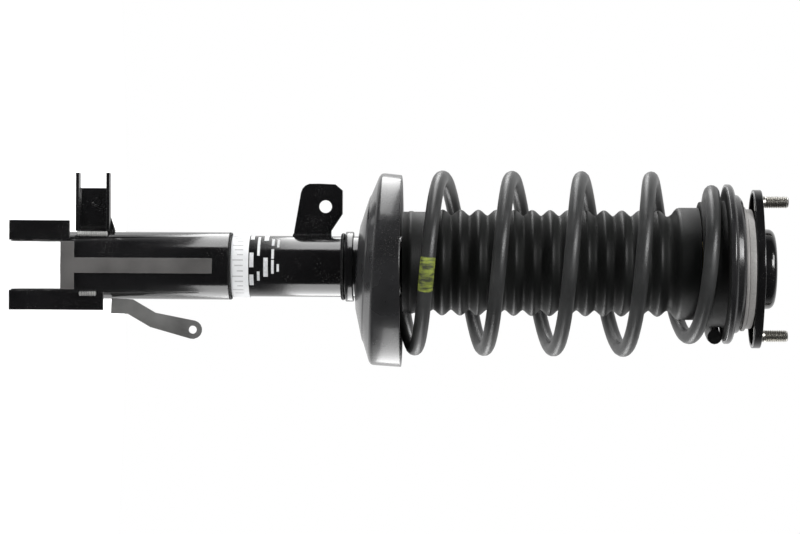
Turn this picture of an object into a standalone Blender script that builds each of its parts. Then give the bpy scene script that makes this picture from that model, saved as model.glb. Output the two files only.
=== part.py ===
"""Front coil-over strut: top mount with rod, steering bearing, spring group and damper tube.

Run it with: blender --background --python part.py

Metres, +Z up along the damper axis. The origin is on that axis, on the outer face of the mount plate.
Everything below the mount therefore has a negative Z. The clevis ears reach towards +Y.
"""

import math

import bmesh
import bpy
from mathutils import Matrix, Vector

GAP = 0.0003  # left between any two touching pieces

# Damper tube
TUBE_RADIUS = 0.0255
TUBE_WALL = 0.002
TUBE_TOP = -0.242
TUBE_BOTTOM = -0.566
CYLINDER_RADIUS = 0.0176
CYLINDER_BORE = 0.0161
CYLINDER_TOP = -0.257
CYLINDER_BOTTOM = -0.553

# Rod and piston
ROD_RADIUS = 0.011
ROD_THREAD_RADIUS = 0.006
ROD_TAIL_RADIUS = 0.007
ROD_TOP = 0.0092
ROD_SHOULDER = -0.0149
ROD_TAIL_START = -0.283
ROD_BOTTOM = -0.304
RUNNING_GAP = 0.0004

# Top mount
PLATE_TIP_RADIUS = 0.0663
PLATE_WAIST_RADIUS = 0.046
PLATE_LOBE_SHARPNESS = 6
PLATE_SHEET = 0.0025
PLATE_RIM_DEPTH = 0.0075
PLATE_HOLE_RADIUS = 0.0338
STUD_OFFSET = 0.056
STUD_RADIUS = 0.005
STUD_HEIGHT = 0.023
STUD_HEAD_RADIUS = 0.0075
DOME_RADIUS = 0.0335
DOME_HEIGHT = 0.011
DOME_WALL = 0.0015

# Steering bearing
RACE_INNER_RADIUS = 0.032
RACE_OUTER_RADIUS = 0.050
BALL_CIRCLE_RADIUS = 0.040
BALL_RADIUS = 0.0013
BALL_COUNT = 10
BALL_LEVEL = -0.0124

# Coil spring: turn zero is where the wire first points to -X, and the turns wind left-handed
WIRE_RADIUS = 0.0062
COIL_RADIUS = 0.0716
COIL_LOWER_END_RADIUS = 0.069
COIL_UPPER_END_RADIUS = 0.0605
COIL_SHIFT = -0.0035
COIL_LOWER_SHIFT = 0.0005
COIL_START_LEVEL = -0.310
COIL_PITCH = 0.0581
COIL_RAMP_PITCH = 0.0145
COIL_DEAD_PITCH = 0.007
COIL_FIRST_TURN = -0.55
COIL_LAST_TURN = 5.5
COIL_ACTIVE_TURNS = 5.0
COIL_RAMP = 0.5
COIL_LEAN = 0.041
COIL_POINTS_PER_TURN = 16

# Spring seats
SEAT_RADIUS = 0.0806
SEAT_SHEET = 0.0025
SEAT_CORNER_LEVEL = -0.3205
SEAT_RIM_TOP = -0.300
SEAT_SHIFT = 0.0018
SEAT_TILT = math.radians(3)
UPPER_SEAT_RADIUS = 0.0668
UPPER_SEAT_SHIFT = -0.0040

# Dust boot
BOOT_TOP = -0.0525
BOOT_BOTTOM = -0.299
BOOT_VALLEY_RADIUS = 0.0395
BOOT_RIDGE_RADIUS = 0.0445
BOOT_WALL = 0.0013
BOOT_NECK_RADIUS = 0.0470
BOOT_NECK_BOTTOM = -0.0700
BOOT_TAPER_BOTTOM = -0.0755
BOOT_CUFF_RADIUS = 0.0425
BOOT_CUFF_TOP = -0.2790
BOOT_PITCH = 0.0150
BOOT_FIRST_RIDGE = -0.2660
BOOT_RIDGES = 13

# Knuckle bracket
WRAP_INNER_RADIUS = TUBE_RADIUS + GAP
WRAP_OUTER_RADIUS = 0.0283
WRAP_TOP = -0.444
WRAP_BOTTOM = -0.5835
EAR_INNER = 0.0200
EAR_OUTER = 0.0240
EAR_BACK = 0.075
EAR_FRONT = -0.0150
EAR_BOTTOM = -0.6285
EAR_FLANGE_REACH = 0.0375
FLANGE_TAIL_TOP = -0.5490  # the flange on the +X side runs on up the wrap
EAR_SHOULDER = -0.5770
EAR_TOP = -0.5650
BOLT_HOLE_RADIUS = 0.0070
BOLT_HOLES = ((0.050, -0.5480), (0.034, -0.6040))
WEB_TOP = -0.5715
RIB_HALF_WIDTH = 0.0063
RIB_TOP = -0.457

# Brackets on the tube and on the wrap
PLATE_THICKNESS = 0.004
LINK_HOLE = (-0.3642, 0.0503)
LINK_HOLE_RADIUS = 0.0054
STRAP_THICKNESS = 0.002
STRAP_HALF_WIDTH = 0.0064
STRAP_EYE = (-0.4745, 0.0535)
STRAP_EYE_RADIUS = 0.0034
STRAP_Y = -0.009

STEPS_LARGE = 24
STEPS_SMALL = 16

MATERIALS = {
    "black_paint": ((0.012, 0.012, 0.013), 0.22, 0.3),
    "black_steel": ((0.030, 0.030, 0.032), 0.40, 0.6),
    "seat_paint": ((0.050, 0.050, 0.052), 0.30, 0.4),
    "spring_paint": ((0.075, 0.077, 0.078), 0.42, 0.2),
    "black_rubber": ((0.018, 0.018, 0.019), 0.75, 0.0),
    "zinc": ((0.52, 0.52, 0.50), 0.35, 0.9),
    "strap_steel": ((0.42, 0.42, 0.40), 0.40, 0.8),
    "chrome_rod": ((0.70, 0.70, 0.71), 0.12, 1.0),
    "plain_steel": ((0.38, 0.38, 0.38), 0.40, 0.9),
    "bearing_plastic": ((0.45, 0.44, 0.43), 0.50, 0.0),
    "urethane": ((0.60, 0.52, 0.25), 0.80, 0.0),
    "ptfe": ((0.10, 0.16, 0.14), 0.55, 0.0),
    "label_white": ((0.82, 0.83, 0.84), 0.45, 0.0),
}


def clear_scene():
    for obj in list(bpy.data.objects):
        bpy.data.objects.remove(obj, do_unlink=True)


def new_collection(name, rendered):
    collection = bpy.data.collections.new(name)
    collection.hide_render = not rendered
    bpy.context.scene.collection.children.link(collection)
    return collection


def get_material(name):
    material = bpy.data.materials.get(name)
    if material is None:
        colour, roughness, metallic = MATERIALS[name]
        material = bpy.data.materials.new(name)
        material.use_nodes = True
        shader = material.node_tree.nodes["Principled BSDF"]
        shader.inputs["Base Color"].default_value = (*colour, 1)
        shader.inputs["Roughness"].default_value = roughness
        shader.inputs["Metallic"].default_value = metallic
        material.diffuse_color = (*colour, 1)
    return material


def add_piece(name, mesh, material, parent=None):
    """Links a mesh as a visible sub-part."""
    obj = bpy.data.objects.new(name, mesh)
    bpy.data.collections["strut_assembly"].objects.link(obj)
    mesh.materials.append(get_material(material))
    if parent is not None:
        obj.parent = parent
    return obj


def add_helper(name, mesh):
    """Links a mesh that only cuts or joins: it is never rendered."""
    obj = bpy.data.objects.new(name, mesh)
    bpy.data.collections["helpers"].objects.link(obj)
    obj.hide_render = True
    obj.display_type = "WIRE"
    return obj


def add_boolean(obj, other, operation):
    modifier = obj.modifiers.new(other.name, "BOOLEAN")
    modifier.operation = operation
    modifier.solver = "EXACT"
    modifier.object = other


def cut(obj, *cutters):
    for cutter in cutters:
        add_boolean(obj, cutter, "DIFFERENCE")


def join(obj, *others):
    for other in others:
        add_boolean(obj, other, "UNION")


def smooth(mesh):
    mesh.shade_smooth()
    mesh.set_sharp_from_angle(angle=math.radians(35))


def profile_mesh(name, points, closed):
    """Edges through points given as (radius, height)."""
    mesh = bpy.data.meshes.new(name)
    count = len(points)
    edges = [(i, i + 1) for i in range(count - 1)]
    if closed:
        edges.append((count - 1, 0))
    mesh.from_pydata([(r, 0, z) for r, z in points], edges, [])
    return mesh


def turn(obj, steps):
    screw = obj.modifiers.new("turn", "SCREW")
    screw.axis = "Z"
    screw.steps = steps
    screw.render_steps = steps
    screw.use_merge_vertices = True
    screw.merge_threshold = 0.00001
    screw.use_smooth_shade = False


def turned_ring(name, points, material, parent=None, steps=STEPS_SMALL):
    """A ring: the profile is a loop that runs down its outer side and up its inner side."""
    obj = add_piece(name, profile_mesh(name, points, True), material, parent)
    turn(obj, steps)
    return obj


def turned_solid(name, points, material, parent=None, steps=STEPS_SMALL):
    """A solid of revolution: the profile starts and ends on the axis, top to bottom."""
    obj = add_piece(name, profile_mesh(name, points, False), material, parent)
    turn(obj, steps)
    return obj


def ring_profile(inner, outer, bottom, top):
    return [(outer, top), (outer, bottom), (inner, bottom), (inner, top)]


def box_mesh(name, low, high):
    mesh = bpy.data.meshes.new(name)
    work = bmesh.new()
    bmesh.ops.create_cube(work, size=1)
    size = Vector(high) - Vector(low)
    middle = (Vector(high) + Vector(low)) / 2
    bmesh.ops.scale(work, vec=size, verts=work.verts)
    bmesh.ops.translate(work, vec=middle, verts=work.verts)
    work.to_mesh(mesh)
    work.free()
    return mesh


def cylinder_mesh(name, radius, length, sides=24, matrix=None):
    """A cylinder along local Z, centred on the matrix's place."""
    mesh = bpy.data.meshes.new(name)
    work = bmesh.new()
    bmesh.ops.create_cone(
        work,
        cap_ends=True,
        segments=sides,
        radius1=radius,
        radius2=radius,
        depth=length,
        matrix=matrix or Matrix.Identity(4),
    )
    work.to_mesh(mesh)
    work.free()
    return mesh


def along_x(place):
    return Matrix.Translation(place) @ Matrix.Rotation(math.pi / 2, 4, "Y")


def along_y(place):
    return Matrix.Translation(place) @ Matrix.Rotation(math.pi / 2, 4, "X")


def arc(centre, radius, start, end, count):
    """Points on an arc, with the angles in degrees."""
    points = []
    for i in range(count + 1):
        angle = math.radians(start + (end - start) * i / count)
        points.append((centre[0] + radius * math.cos(angle), centre[1] + radius * math.sin(angle)))
    return points


def sheet_mesh(name, outlines, thickness, matrix):
    """A flat sheet from 2D outlines, the first one outside and the others holes, as a welded mesh."""
    curve = bpy.data.curves.new(name, "CURVE")
    curve.dimensions = "2D"
    curve.fill_mode = "BOTH"
    curve.extrude = thickness / 2
    for outline in outlines:
        spline = curve.splines.new("POLY")
        spline.points.add(len(outline) - 1)
        for point, (x, y) in zip(spline.points, outline):
            point.co = (x, y, 0, 1)
        spline.use_cyclic_u = True
    guide = bpy.data.objects.new(name + "_outline", curve)
    bpy.context.scene.collection.objects.link(guide)
    bpy.context.view_layer.update()
    mesh = bpy.data.meshes.new_from_object(guide.evaluated_get(bpy.context.evaluated_depsgraph_get()))
    bpy.data.objects.remove(guide)
    mesh.name = name
    work = bmesh.new()
    work.from_mesh(mesh)
    bmesh.ops.remove_doubles(work, verts=work.verts, dist=0.00001)
    bmesh.ops.transform(work, matrix=matrix, verts=work.verts)
    bmesh.ops.recalc_face_normals(work, faces=work.faces)
    work.to_mesh(mesh)
    work.free()
    mesh.materials.clear()
    return mesh


# A side sheet lies in the plane of the damper axis: its outline is (Z, height above the axis towards -X).
def side_sheet_matrix(y):
    return Matrix(((0, -1, 0, 0), (0, 0, -1, y), (1, 0, 0, 0), (0, 0, 0, 1)))


# An ear sheet is square to X: its outline is (Y, Z).
def ear_sheet_matrix(x):
    return Matrix(((0, 0, 1, x), (1, 0, 0, 0), (0, 1, 0, 0), (0, 0, 0, 1)))


def ramp(value):
    """Smooth step from 0 to 1."""
    value = min(max(value, 0), 1)
    return value * value * (3 - 2 * value)


# ---------------------------------------------------------------- top mount and rod


def plate_outline(count=48):
    points = []
    for i in range(count):
        angle = 2 * math.pi * i / count
        lobe = abs(math.cos(angle)) ** PLATE_LOBE_SHARPNESS
        radius = PLATE_WAIST_RADIUS + (PLATE_TIP_RADIUS - PLATE_WAIST_RADIUS) * lobe
        points.append((radius * math.cos(angle), radius * math.sin(angle)))
    return points


def make_mount_plate(parent):
    """A flat ring with two lobes, its outer edge turned down, given its thickness inwards."""
    outline = plate_outline()
    work = bmesh.new()
    outer = [work.verts.new((x, y, 0)) for x, y in outline]
    inner = []
    for x, y in outline:
        scale = PLATE_HOLE_RADIUS / math.hypot(x, y)
        inner.append(work.verts.new((x * scale, y * scale, 0)))
    rim = []
    for i, corner in enumerate(outer):
        after = (i + 1) % len(outer)
        work.faces.new((corner, outer[after], inner[after], inner[i]))
        rim.append(work.edges.get((corner, outer[after])))
    low = bmesh.ops.extrude_edge_only(work, edges=rim)
    moved = [item for item in low["geom"] if isinstance(item, bmesh.types.BMVert)]
    bmesh.ops.translate(work, vec=(0, 0, -PLATE_RIM_DEPTH), verts=moved)
    bmesh.ops.recalc_face_normals(work, faces=work.faces)
    work.faces.ensure_lookup_table()
    if work.faces[0].normal.z < 0:
        bmesh.ops.reverse_faces(work, faces=work.faces)
    mesh = bpy.data.meshes.new("mount_plate")
    work.to_mesh(mesh)
    work.free()
    plate = add_piece("mount_plate", mesh, "black_paint", parent)
    shell = plate.modifiers.new("sheet", "SOLIDIFY")
    shell.thickness = PLATE_SHEET
    shell.offset = -1
    shell.use_even_offset = True
    for side in (-1, 1):
        place = Matrix.Translation((side * STUD_OFFSET, 0, 0)) @ Matrix.Rotation(0.1, 4, "Z")
        name = "stud_hole_" + ("a" if side < 0 else "b")
        cut(plate, add_helper(name, cylinder_mesh(name, STUD_RADIUS + GAP, 0.02, 16, place)))


def make_mount_dome(parent):
    corner = 0.005
    inside = DOME_RADIUS - DOME_WALL
    outer = [(0, DOME_HEIGHT)]
    outer += arc((DOME_RADIUS - corner, DOME_HEIGHT - corner), corner, 90, 0, 4)
    inner = arc((DOME_RADIUS - corner, DOME_HEIGHT - corner), corner - DOME_WALL, 0, 90, 3)
    skirt = -PLATE_SHEET
    points = outer + [(DOME_RADIUS, skirt), (inside, skirt)] + inner + [(0, DOME_HEIGHT - DOME_WALL)]
    turned_solid("mount_dome", points, "black_paint", parent)


def make_studs(parent):
    head_top = -PLATE_SHEET - GAP
    head_bottom = head_top - 0.002
    chamfer = 0.001
    for name, side in (("mount_stud_left", -1), ("mount_stud_right", 1)):
        points = [
            (0, STUD_HEIGHT),
            (STUD_RADIUS - chamfer, STUD_HEIGHT),
            (STUD_RADIUS, STUD_HEIGHT - chamfer),
            (STUD_RADIUS, head_top),
            (STUD_HEAD_RADIUS, head_top),
            (STUD_HEAD_RADIUS, head_bottom),
            (0, head_bottom),
        ]
        stud = turned_solid(name, points, "zinc", parent, 16)
        stud.location = (side * STUD_OFFSET, 0, 0)


def make_mount_core(parent):
    cup = [
        (0.0315, -0.0034),
        (0.0315, -0.0062),
        (0.0430, -0.0062),
        (0.0430, -0.0079),
        (0.0315, -0.0079),
        (0.0315, -0.0120),
        (0.0200, -0.0120),
        (0.0200, -0.0105),
        (0.0300, -0.0105),
        (0.0300, -0.0034),
    ]
    turned_ring("mount_cup", cup, "black_steel", parent)
    rubber = [
        (0.0290, 0.0020),
        (0.0296, 0.0000),
        (0.0296, -0.0101),
        (0.0122, -0.0101),
        (0.0122, 0.0020),
    ]
    turned_ring("mount_rubber", rubber, "black_rubber", parent)
    sleeve_inner = ROD_THREAD_RADIUS + RUNNING_GAP
    turned_ring("inner_sleeve", ring_profile(sleeve_inner, 0.0118, -0.0126, 0.0020), "plain_steel", parent)
    turned_ring("rod_washer", ring_profile(sleeve_inner, 0.0170, 0.0023, 0.0043), "zinc", parent)


def make_nut(name, across_corners, bore, bottom, top, material, parent):
    middle = Matrix.Translation((0, 0, (bottom + top) / 2))
    nut = add_piece(name, cylinder_mesh(name, across_corners / 2, top - bottom, 6, middle), material, parent)
    hole = add_helper(name + "_hole", cylinder_mesh(name + "_hole", bore, 3 * (top - bottom), 24, middle))
    cut(nut, hole)


def make_rod(parent):
    points = [
        (0, ROD_TOP),
        (ROD_THREAD_RADIUS, ROD_TOP),
        (ROD_THREAD_RADIUS, ROD_SHOULDER),
        (ROD_RADIUS, ROD_SHOULDER),
        (ROD_RADIUS, ROD_TAIL_START),
        (ROD_TAIL_RADIUS, ROD_TAIL_START),
        (ROD_TAIL_RADIUS, ROD_BOTTOM),
        (0, ROD_BOTTOM),
    ]
    turned_solid("piston_rod", points, "chrome_rod", parent)
    on_rod = ROD_RADIUS + GAP
    turned_ring("rebound_washer", ring_profile(on_rod, 0.0142, -0.2680, -0.2655), "plain_steel", parent)
    turned_ring("rebound_stop", ring_profile(on_rod, 0.0146, -0.2652, -0.2573), "black_rubber", parent)


def make_piston(parent):
    on_tail = ROD_TAIL_RADIUS + GAP
    land = 0.0155
    groove = 0.0146
    points = [
        (land, -0.2834),
        (land, -0.2858),
        (groove, -0.2858),
        (groove, -0.2952),
        (land, -0.2952),
        (land, -0.2976),
        (on_tail, -0.2976),
        (on_tail, -0.2834),
    ]
    turned_ring("piston", points, "plain_steel", parent)
    turned_ring("piston_band", ring_profile(groove + GAP, 0.0157, -0.2949, -0.2861), "ptfe", parent)


def make_bump_stop(parent):
    inner = ROD_RADIUS + RUNNING_GAP
    top = ROD_SHOULDER - GAP
    waist = 0.0185
    belly = 0.0235
    points = [
        (belly, top),
        (belly, -0.038),
        (waist, -0.043),
        (belly, -0.049),
        (belly, -0.061),
        (waist, -0.066),
        (belly - 0.001, -0.072),
        (belly - 0.003, -0.084),
        (0.0150, -0.097),
        (inner, -0.097),
        (inner, top),
    ]
    turned_ring("bump_stop", points, "urethane", parent)
    bore = ROD_THREAD_RADIUS + RUNNING_GAP
    cup = [
        (0.0270, -0.0131),
        (0.0270, -0.0280),
        (0.0255, -0.0280),
        (0.0255, -0.0146),
        (bore, -0.0146),
        (bore, -0.0131),
    ]
    turned_ring("bump_stop_cup", cup, "black_steel", parent)


# ---------------------------------------------------------------- steering bearing


def make_upper_race(parent):
    skirt = RACE_OUTER_RADIUS - 0.0022
    points = [
        (RACE_OUTER_RADIUS, -0.0083),
        (RACE_OUTER_RADIUS, -0.0136),
        (skirt, -0.0136),
        (skirt, -0.0108),
        (RACE_INNER_RADIUS, -0.0108),
        (RACE_INNER_RADIUS, -0.0083),
    ]
    turned_ring("bearing_upper_race", points, "bearing_plastic", parent, STEPS_LARGE)


def make_ball_cage(parent):
    half = 0.0005
    inner = BALL_CIRCLE_RADIUS - 0.003
    outer = BALL_CIRCLE_RADIUS + 0.003
    profile = ring_profile(inner, outer, BALL_LEVEL - half, BALL_LEVEL + half)
    cage = turned_ring("ball_cage", profile, "plain_steel", parent)
    for i in range(BALL_COUNT):
        angle = 2 * math.pi * (i + 0.5) / BALL_COUNT
        place = (BALL_CIRCLE_RADIUS * math.cos(angle), BALL_CIRCLE_RADIUS * math.sin(angle), BALL_LEVEL)
        mesh = bpy.data.meshes.new(f"ball_{i}")
        work = bmesh.new()
        matrix = Matrix.Translation(place)
        bmesh.ops.create_uvsphere(work, u_segments=6, v_segments=4, radius=BALL_RADIUS, matrix=matrix)
        work.to_mesh(mesh)
        work.free()
        join(cage, add_helper(f"ball_{i}", mesh))


def make_lower_race(parent):
    profile = ring_profile(RACE_INNER_RADIUS, RACE_OUTER_RADIUS + 0.002, -0.0165, -0.0140)
    turned_ring("bearing_lower_race", profile, "bearing_plastic", parent, STEPS_LARGE)


# ---------------------------------------------------------------- spring group


def make_upper_seat(parent):
    rim = UPPER_SEAT_RADIUS
    sheet = SEAT_SHEET
    points = [
        (0.0545, -0.0168),
        (0.0575, -0.0195),
        (0.0585, -0.0238),
        (rim - 0.002, -0.0245),
        (rim, -0.0265),
        (rim, -0.0305),
        (rim - sheet, -0.0305),
        (rim - sheet, -0.0268),
        (0.0560, -0.0268),
        (0.0550, -0.0210),
        (0.0530, -0.0193),
        (0.0340, -0.0193),
        (0.0340, -0.0168),
    ]
    seat = turned_ring("upper_spring_seat", points, "seat_paint", parent, STEPS_LARGE)
    seat.location.x = UPPER_SEAT_SHIFT


def make_upper_insulator(parent):
    points = [
        (0.0640, -0.0271),
        (0.0640, -0.0310),
        (0.0530, -0.0310),
        (0.0520, -0.0520),
        (0.0470, -0.0520),
        (0.0470, -0.0271),
    ]
    insulator = turned_ring("upper_insulator", points, "black_rubber", parent, STEPS_LARGE)
    insulator.location.x = UPPER_SEAT_SHIFT


def boot_outer_profile():
    """Outside of the boot from top to bottom: plain neck, ridges, plain cuff."""
    valley = BOOT_VALLEY_RADIUS
    points = [(BOOT_NECK_RADIUS, BOOT_TOP), (BOOT_NECK_RADIUS, BOOT_NECK_BOTTOM), (valley, BOOT_TAPER_BOTTOM)]
    for i in reversed(range(BOOT_RIDGES)):
        level = BOOT_FIRST_RIDGE + i * BOOT_PITCH
        points.append((BOOT_RIDGE_RADIUS, level))
        points.append((valley, level - BOOT_PITCH / 2))
    points.append((BOOT_CUFF_RADIUS, BOOT_CUFF_TOP))
    points.append((BOOT_CUFF_RADIUS, BOOT_BOTTOM))
    return points


def make_dust_boot(parent):
    bore = BOOT_VALLEY_RADIUS - BOOT_WALL
    neck_bore = BOOT_NECK_RADIUS - BOOT_WALL
    neck_level = BOOT_NECK_BOTTOM - 0.0005
    inner = [(bore, BOOT_BOTTOM), (bore, BOOT_TAPER_BOTTOM), (neck_bore, neck_level), (neck_bore, BOOT_TOP)]
    boot = turned_ring("dust_boot", boot_outer_profile() + inner, "black_rubber", parent)
    boot.location.x = UPPER_SEAT_SHIFT


def coil_level(turn_number):
    """Height of the wire's centre before the lean, as the integral of a pitch that ramps up and down."""
    ramp_rise = COIL_RAMP * (COIL_RAMP_PITCH + COIL_PITCH) / 2
    if turn_number < 0:
        return COIL_START_LEVEL + COIL_DEAD_PITCH * turn_number
    if turn_number > COIL_ACTIVE_TURNS:
        above = turn_number - COIL_ACTIVE_TURNS
        return coil_level(COIL_ACTIVE_TURNS) + COIL_DEAD_PITCH * above
    if turn_number < COIL_RAMP:
        share = turn_number / COIL_RAMP
        gain = COIL_RAMP * (COIL_PITCH - COIL_RAMP_PITCH) * (share**3 - share**4 / 2)
        return COIL_START_LEVEL + COIL_RAMP_PITCH * turn_number + gain
    if turn_number > COIL_ACTIVE_TURNS - COIL_RAMP:
        below = COIL_ACTIVE_TURNS - turn_number
        share = below / COIL_RAMP
        gain = COIL_RAMP * (COIL_PITCH - COIL_RAMP_PITCH) * (share**3 - share**4 / 2)
        whole = 2 * ramp_rise + COIL_PITCH * (COIL_ACTIVE_TURNS - 2 * COIL_RAMP)
        return COIL_START_LEVEL + whole - COIL_RAMP_PITCH * below - gain
    return COIL_START_LEVEL + ramp_rise + COIL_PITCH * (turn_number - COIL_RAMP)


def coil_point(turn_number):
    lower = ramp(turn_number / COIL_RAMP)
    upper = ramp((turn_number - 4.0) / COIL_RAMP)
    radius = COIL_LOWER_END_RADIUS + (COIL_RADIUS - COIL_LOWER_END_RADIUS) * lower
    radius += (COIL_UPPER_END_RADIUS - COIL_RADIUS) * upper
    shift = COIL_LOWER_SHIFT + (COIL_SHIFT - COIL_LOWER_SHIFT) * lower
    seat_lean = -math.tan(SEAT_TILT)
    lean = seat_lean + (COIL_LEAN - seat_lean) * lower - COIL_LEAN * upper
    angle = math.pi - 2 * math.pi * turn_number
    x = shift + radius * math.cos(angle)
    return (x, radius * math.sin(angle), coil_level(turn_number) + lean * x)


def make_coil_spring(parent):
    curve = bpy.data.curves.new("coil_spring", "CURVE")
    curve.dimensions = "3D"
    curve.bevel_depth = WIRE_RADIUS
    curve.bevel_resolution = 2
    curve.use_fill_caps = True
    spline = curve.splines.new("POLY")
    turns = COIL_LAST_TURN - COIL_FIRST_TURN
    count = round(turns * COIL_POINTS_PER_TURN)
    spline.points.add(count)
    for i, point in enumerate(spline.points):
        point.co = (*coil_point(COIL_FIRST_TURN + turns * i / count), 1)
    add_piece("coil_spring", curve, "spring_paint", parent)


# ---------------------------------------------------------------- damper tube and its inside


def make_damper_inside(parent):
    bore = TUBE_RADIUS - TUBE_WALL
    on_rod = ROD_RADIUS + RUNNING_GAP
    tube = ring_profile(bore, TUBE_RADIUS, TUBE_BOTTOM, TUBE_TOP)
    turned_ring("outer_tube", tube, "black_paint", parent, STEPS_LARGE)
    cap = [
        (0, -0.5645),
        (bore - GAP, -0.5645),
        (bore - GAP, -0.5665),
        (0.0225, -0.5700),
        (0.0150, -0.5735),
        (0, -0.5750),
    ]
    turned_solid("base_cap", cap, "black_paint", parent)
    cylinder = ring_profile(CYLINDER_BORE, CYLINDER_RADIUS, CYLINDER_BOTTOM, CYLINDER_TOP)
    turned_ring("inner_cylinder", cylinder, "plain_steel", parent)
    valve = [
        (0, -0.5480),
        (0.0140, -0.5480),
        (0.0140, CYLINDER_BOTTOM - GAP),
        (CYLINDER_RADIUS, CYLINDER_BOTTOM - GAP),
        (CYLINDER_RADIUS, -0.5630),
        (0, -0.5630),
    ]
    turned_solid("base_valve", valve, "plain_steel", parent)
    guide = ring_profile(on_rod, bore - GAP, CYLINDER_TOP + GAP, -0.2470)
    turned_ring("rod_guide", guide, "plain_steel", parent)
    seal = ring_profile(on_rod, bore - GAP, -0.2467, -0.2423)
    turned_ring("rod_seal", seal, "black_rubber", parent)
    tube_cap = [
        (0.0275, -0.2395),
        (0.0275, -0.2550),
        (TUBE_RADIUS + GAP, -0.2550),
        (TUBE_RADIUS + GAP, -0.2417),
        (0.0125, -0.2417),
        (0.0125, -0.2395),
    ]
    turned_ring("tube_cap", tube_cap, "black_steel", parent, STEPS_LARGE)


def make_seat_collar(parent):
    points = ring_profile(TUBE_RADIUS + GAP, 0.0294, -0.3470, -0.3400)
    turned_ring("seat_collar", points, "black_paint", parent, STEPS_LARGE)


def make_lower_seat(parent):
    rim = SEAT_RADIUS
    sheet = SEAT_SHEET
    corner = SEAT_CORNER_LEVEL
    points = [
        (rim, 0.030),
        (rim, 0),
        (rim - 0.0026, -0.0025),
        (0.0360, -0.0160),
        (0.0278, -0.0170),
        (0.0278, -0.0145),
        (0.0365, -0.0137),
        (rim - 0.0043, -0.0004),
        (rim - sheet, 0.0015),
        (rim - sheet, 0.030),
    ]
    seat = turned_ring("lower_spring_seat", points, "seat_paint", parent, STEPS_LARGE)
    seat.location = (SEAT_SHIFT, 0, corner)
    seat.rotation_euler.y = SEAT_TILT
    low = (-0.1, -0.1, SEAT_RIM_TOP)
    high = (0.1, 0.1, SEAT_RIM_TOP + 0.05)
    cut(seat, add_helper("seat_trim", box_mesh("seat_trim", low, high)))
    pad = [(0.0730, 0.0000), (0.0730, -0.0008), (0.0620, -0.0045), (0.0620, 0.0000)]
    insulator = turned_ring("lower_insulator", pad, "black_rubber", parent)
    insulator.location = (SEAT_SHIFT, 0, corner)
    insulator.rotation_euler.y = SEAT_TILT


# ---------------------------------------------------------------- knuckle bracket


def wrap_outline():
    """C-section around the tube, closed towards -Y, with two legs towards +Y."""
    outer_start = math.degrees(math.acos(EAR_OUTER / WRAP_OUTER_RADIUS))
    inner_start = math.degrees(math.acos(EAR_INNER / WRAP_INNER_RADIUS))
    outer = arc((0, 0), WRAP_OUTER_RADIUS, outer_start, -180 - outer_start, 20)
    inner = arc((0, 0), WRAP_INNER_RADIUS, -180 - inner_start, inner_start, 20)
    legs_left = [(-EAR_OUTER, EAR_BACK), (-EAR_INNER, EAR_BACK)]
    legs_right = [(EAR_INNER, EAR_BACK), (EAR_OUTER, EAR_BACK)]
    return outer + legs_left + inner + legs_right


def ear_outline():
    """Side shape of an ear below the wrap."""
    corner = 0.010
    front = arc((EAR_FRONT + corner, EAR_BOTTOM + corner), corner, 180, 270, 4)
    back = arc((EAR_BACK - 0.022, EAR_BOTTOM + 0.022), 0.022, 270, 345, 5)
    step = 0.0170
    top = [(EAR_BACK, EAR_TOP), (step, EAR_TOP), (step, EAR_SHOULDER), (EAR_FRONT, EAR_SHOULDER)]
    return front + back + top


def leg_trim_outline():
    """What is taken off the legs above the ears, seen from the side."""
    slant = [(0.0190, -0.470), (0.0420, -0.5050), (EAR_BACK, -0.5350)]
    return [(0.0190, -0.430)] + slant + [(0.09, -0.5350), (0.09, -0.430)]


def make_knuckle_bracket(parent):
    length = WRAP_TOP - WRAP_BOTTOM
    middle = Matrix.Translation((0, 0, (WRAP_TOP + WRAP_BOTTOM) / 2))
    mesh = sheet_mesh("knuckle_bracket", [wrap_outline()], length, middle)
    bracket = add_piece("knuckle_bracket", mesh, "black_paint", parent)
    trim = sheet_mesh("leg_trim", [leg_trim_outline()], 0.08, ear_sheet_matrix(0))
    cut(bracket, add_helper("leg_trim", trim))
    thickness = EAR_OUTER - EAR_INNER
    for name, side in (("a", -1), ("b", 1)):
        middle = ear_sheet_matrix(side * (EAR_INNER + EAR_OUTER) / 2)
        ear = sheet_mesh("ear_" + name, [ear_outline()], thickness, middle)
        join(bracket, add_helper("ear_" + name, ear))
        edges = sorted((side * (EAR_INNER + 0.001), side * EAR_FLANGE_REACH))
        low = (edges[0], EAR_FRONT - 0.002, EAR_BOTTOM + 0.0005)
        high = (edges[1], EAR_FRONT + 0.0015, EAR_SHOULDER - 0.0005)
        join(bracket, add_helper("flange_" + name, box_mesh("flange_" + name, low, high)))
    tail_low = (0.0225, EAR_FRONT - 0.002, EAR_SHOULDER - 0.002)
    tail_high = (EAR_FLANGE_REACH, EAR_FRONT + 0.0015, FLANGE_TAIL_TOP)
    join(bracket, add_helper("flange_tail", box_mesh("flange_tail", tail_low, tail_high)))
    face = -WRAP_OUTER_RADIUS - 0.0022
    web_low = (-EAR_INNER, face, WRAP_BOTTOM + 0.0005)
    web_high = (EAR_INNER, -WRAP_OUTER_RADIUS + 0.0015, WEB_TOP)
    join(bracket, add_helper("wrap_web", box_mesh("wrap_web", web_low, web_high)))
    rib_low = (-RIB_HALF_WIDTH, face, WEB_TOP - 0.004)
    rib_high = (RIB_HALF_WIDTH, -WRAP_OUTER_RADIUS + 0.0018, RIB_TOP)
    join(bracket, add_helper("wrap_rib", box_mesh("wrap_rib", rib_low, rib_high)))
    for i, (y, z) in enumerate(BOLT_HOLES):
        name = f"bolt_hole_{i}"
        cut(bracket, add_helper(name, cylinder_mesh(name, BOLT_HOLE_RADIUS, 0.08, 20, along_x((0, y, z)))))


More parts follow.
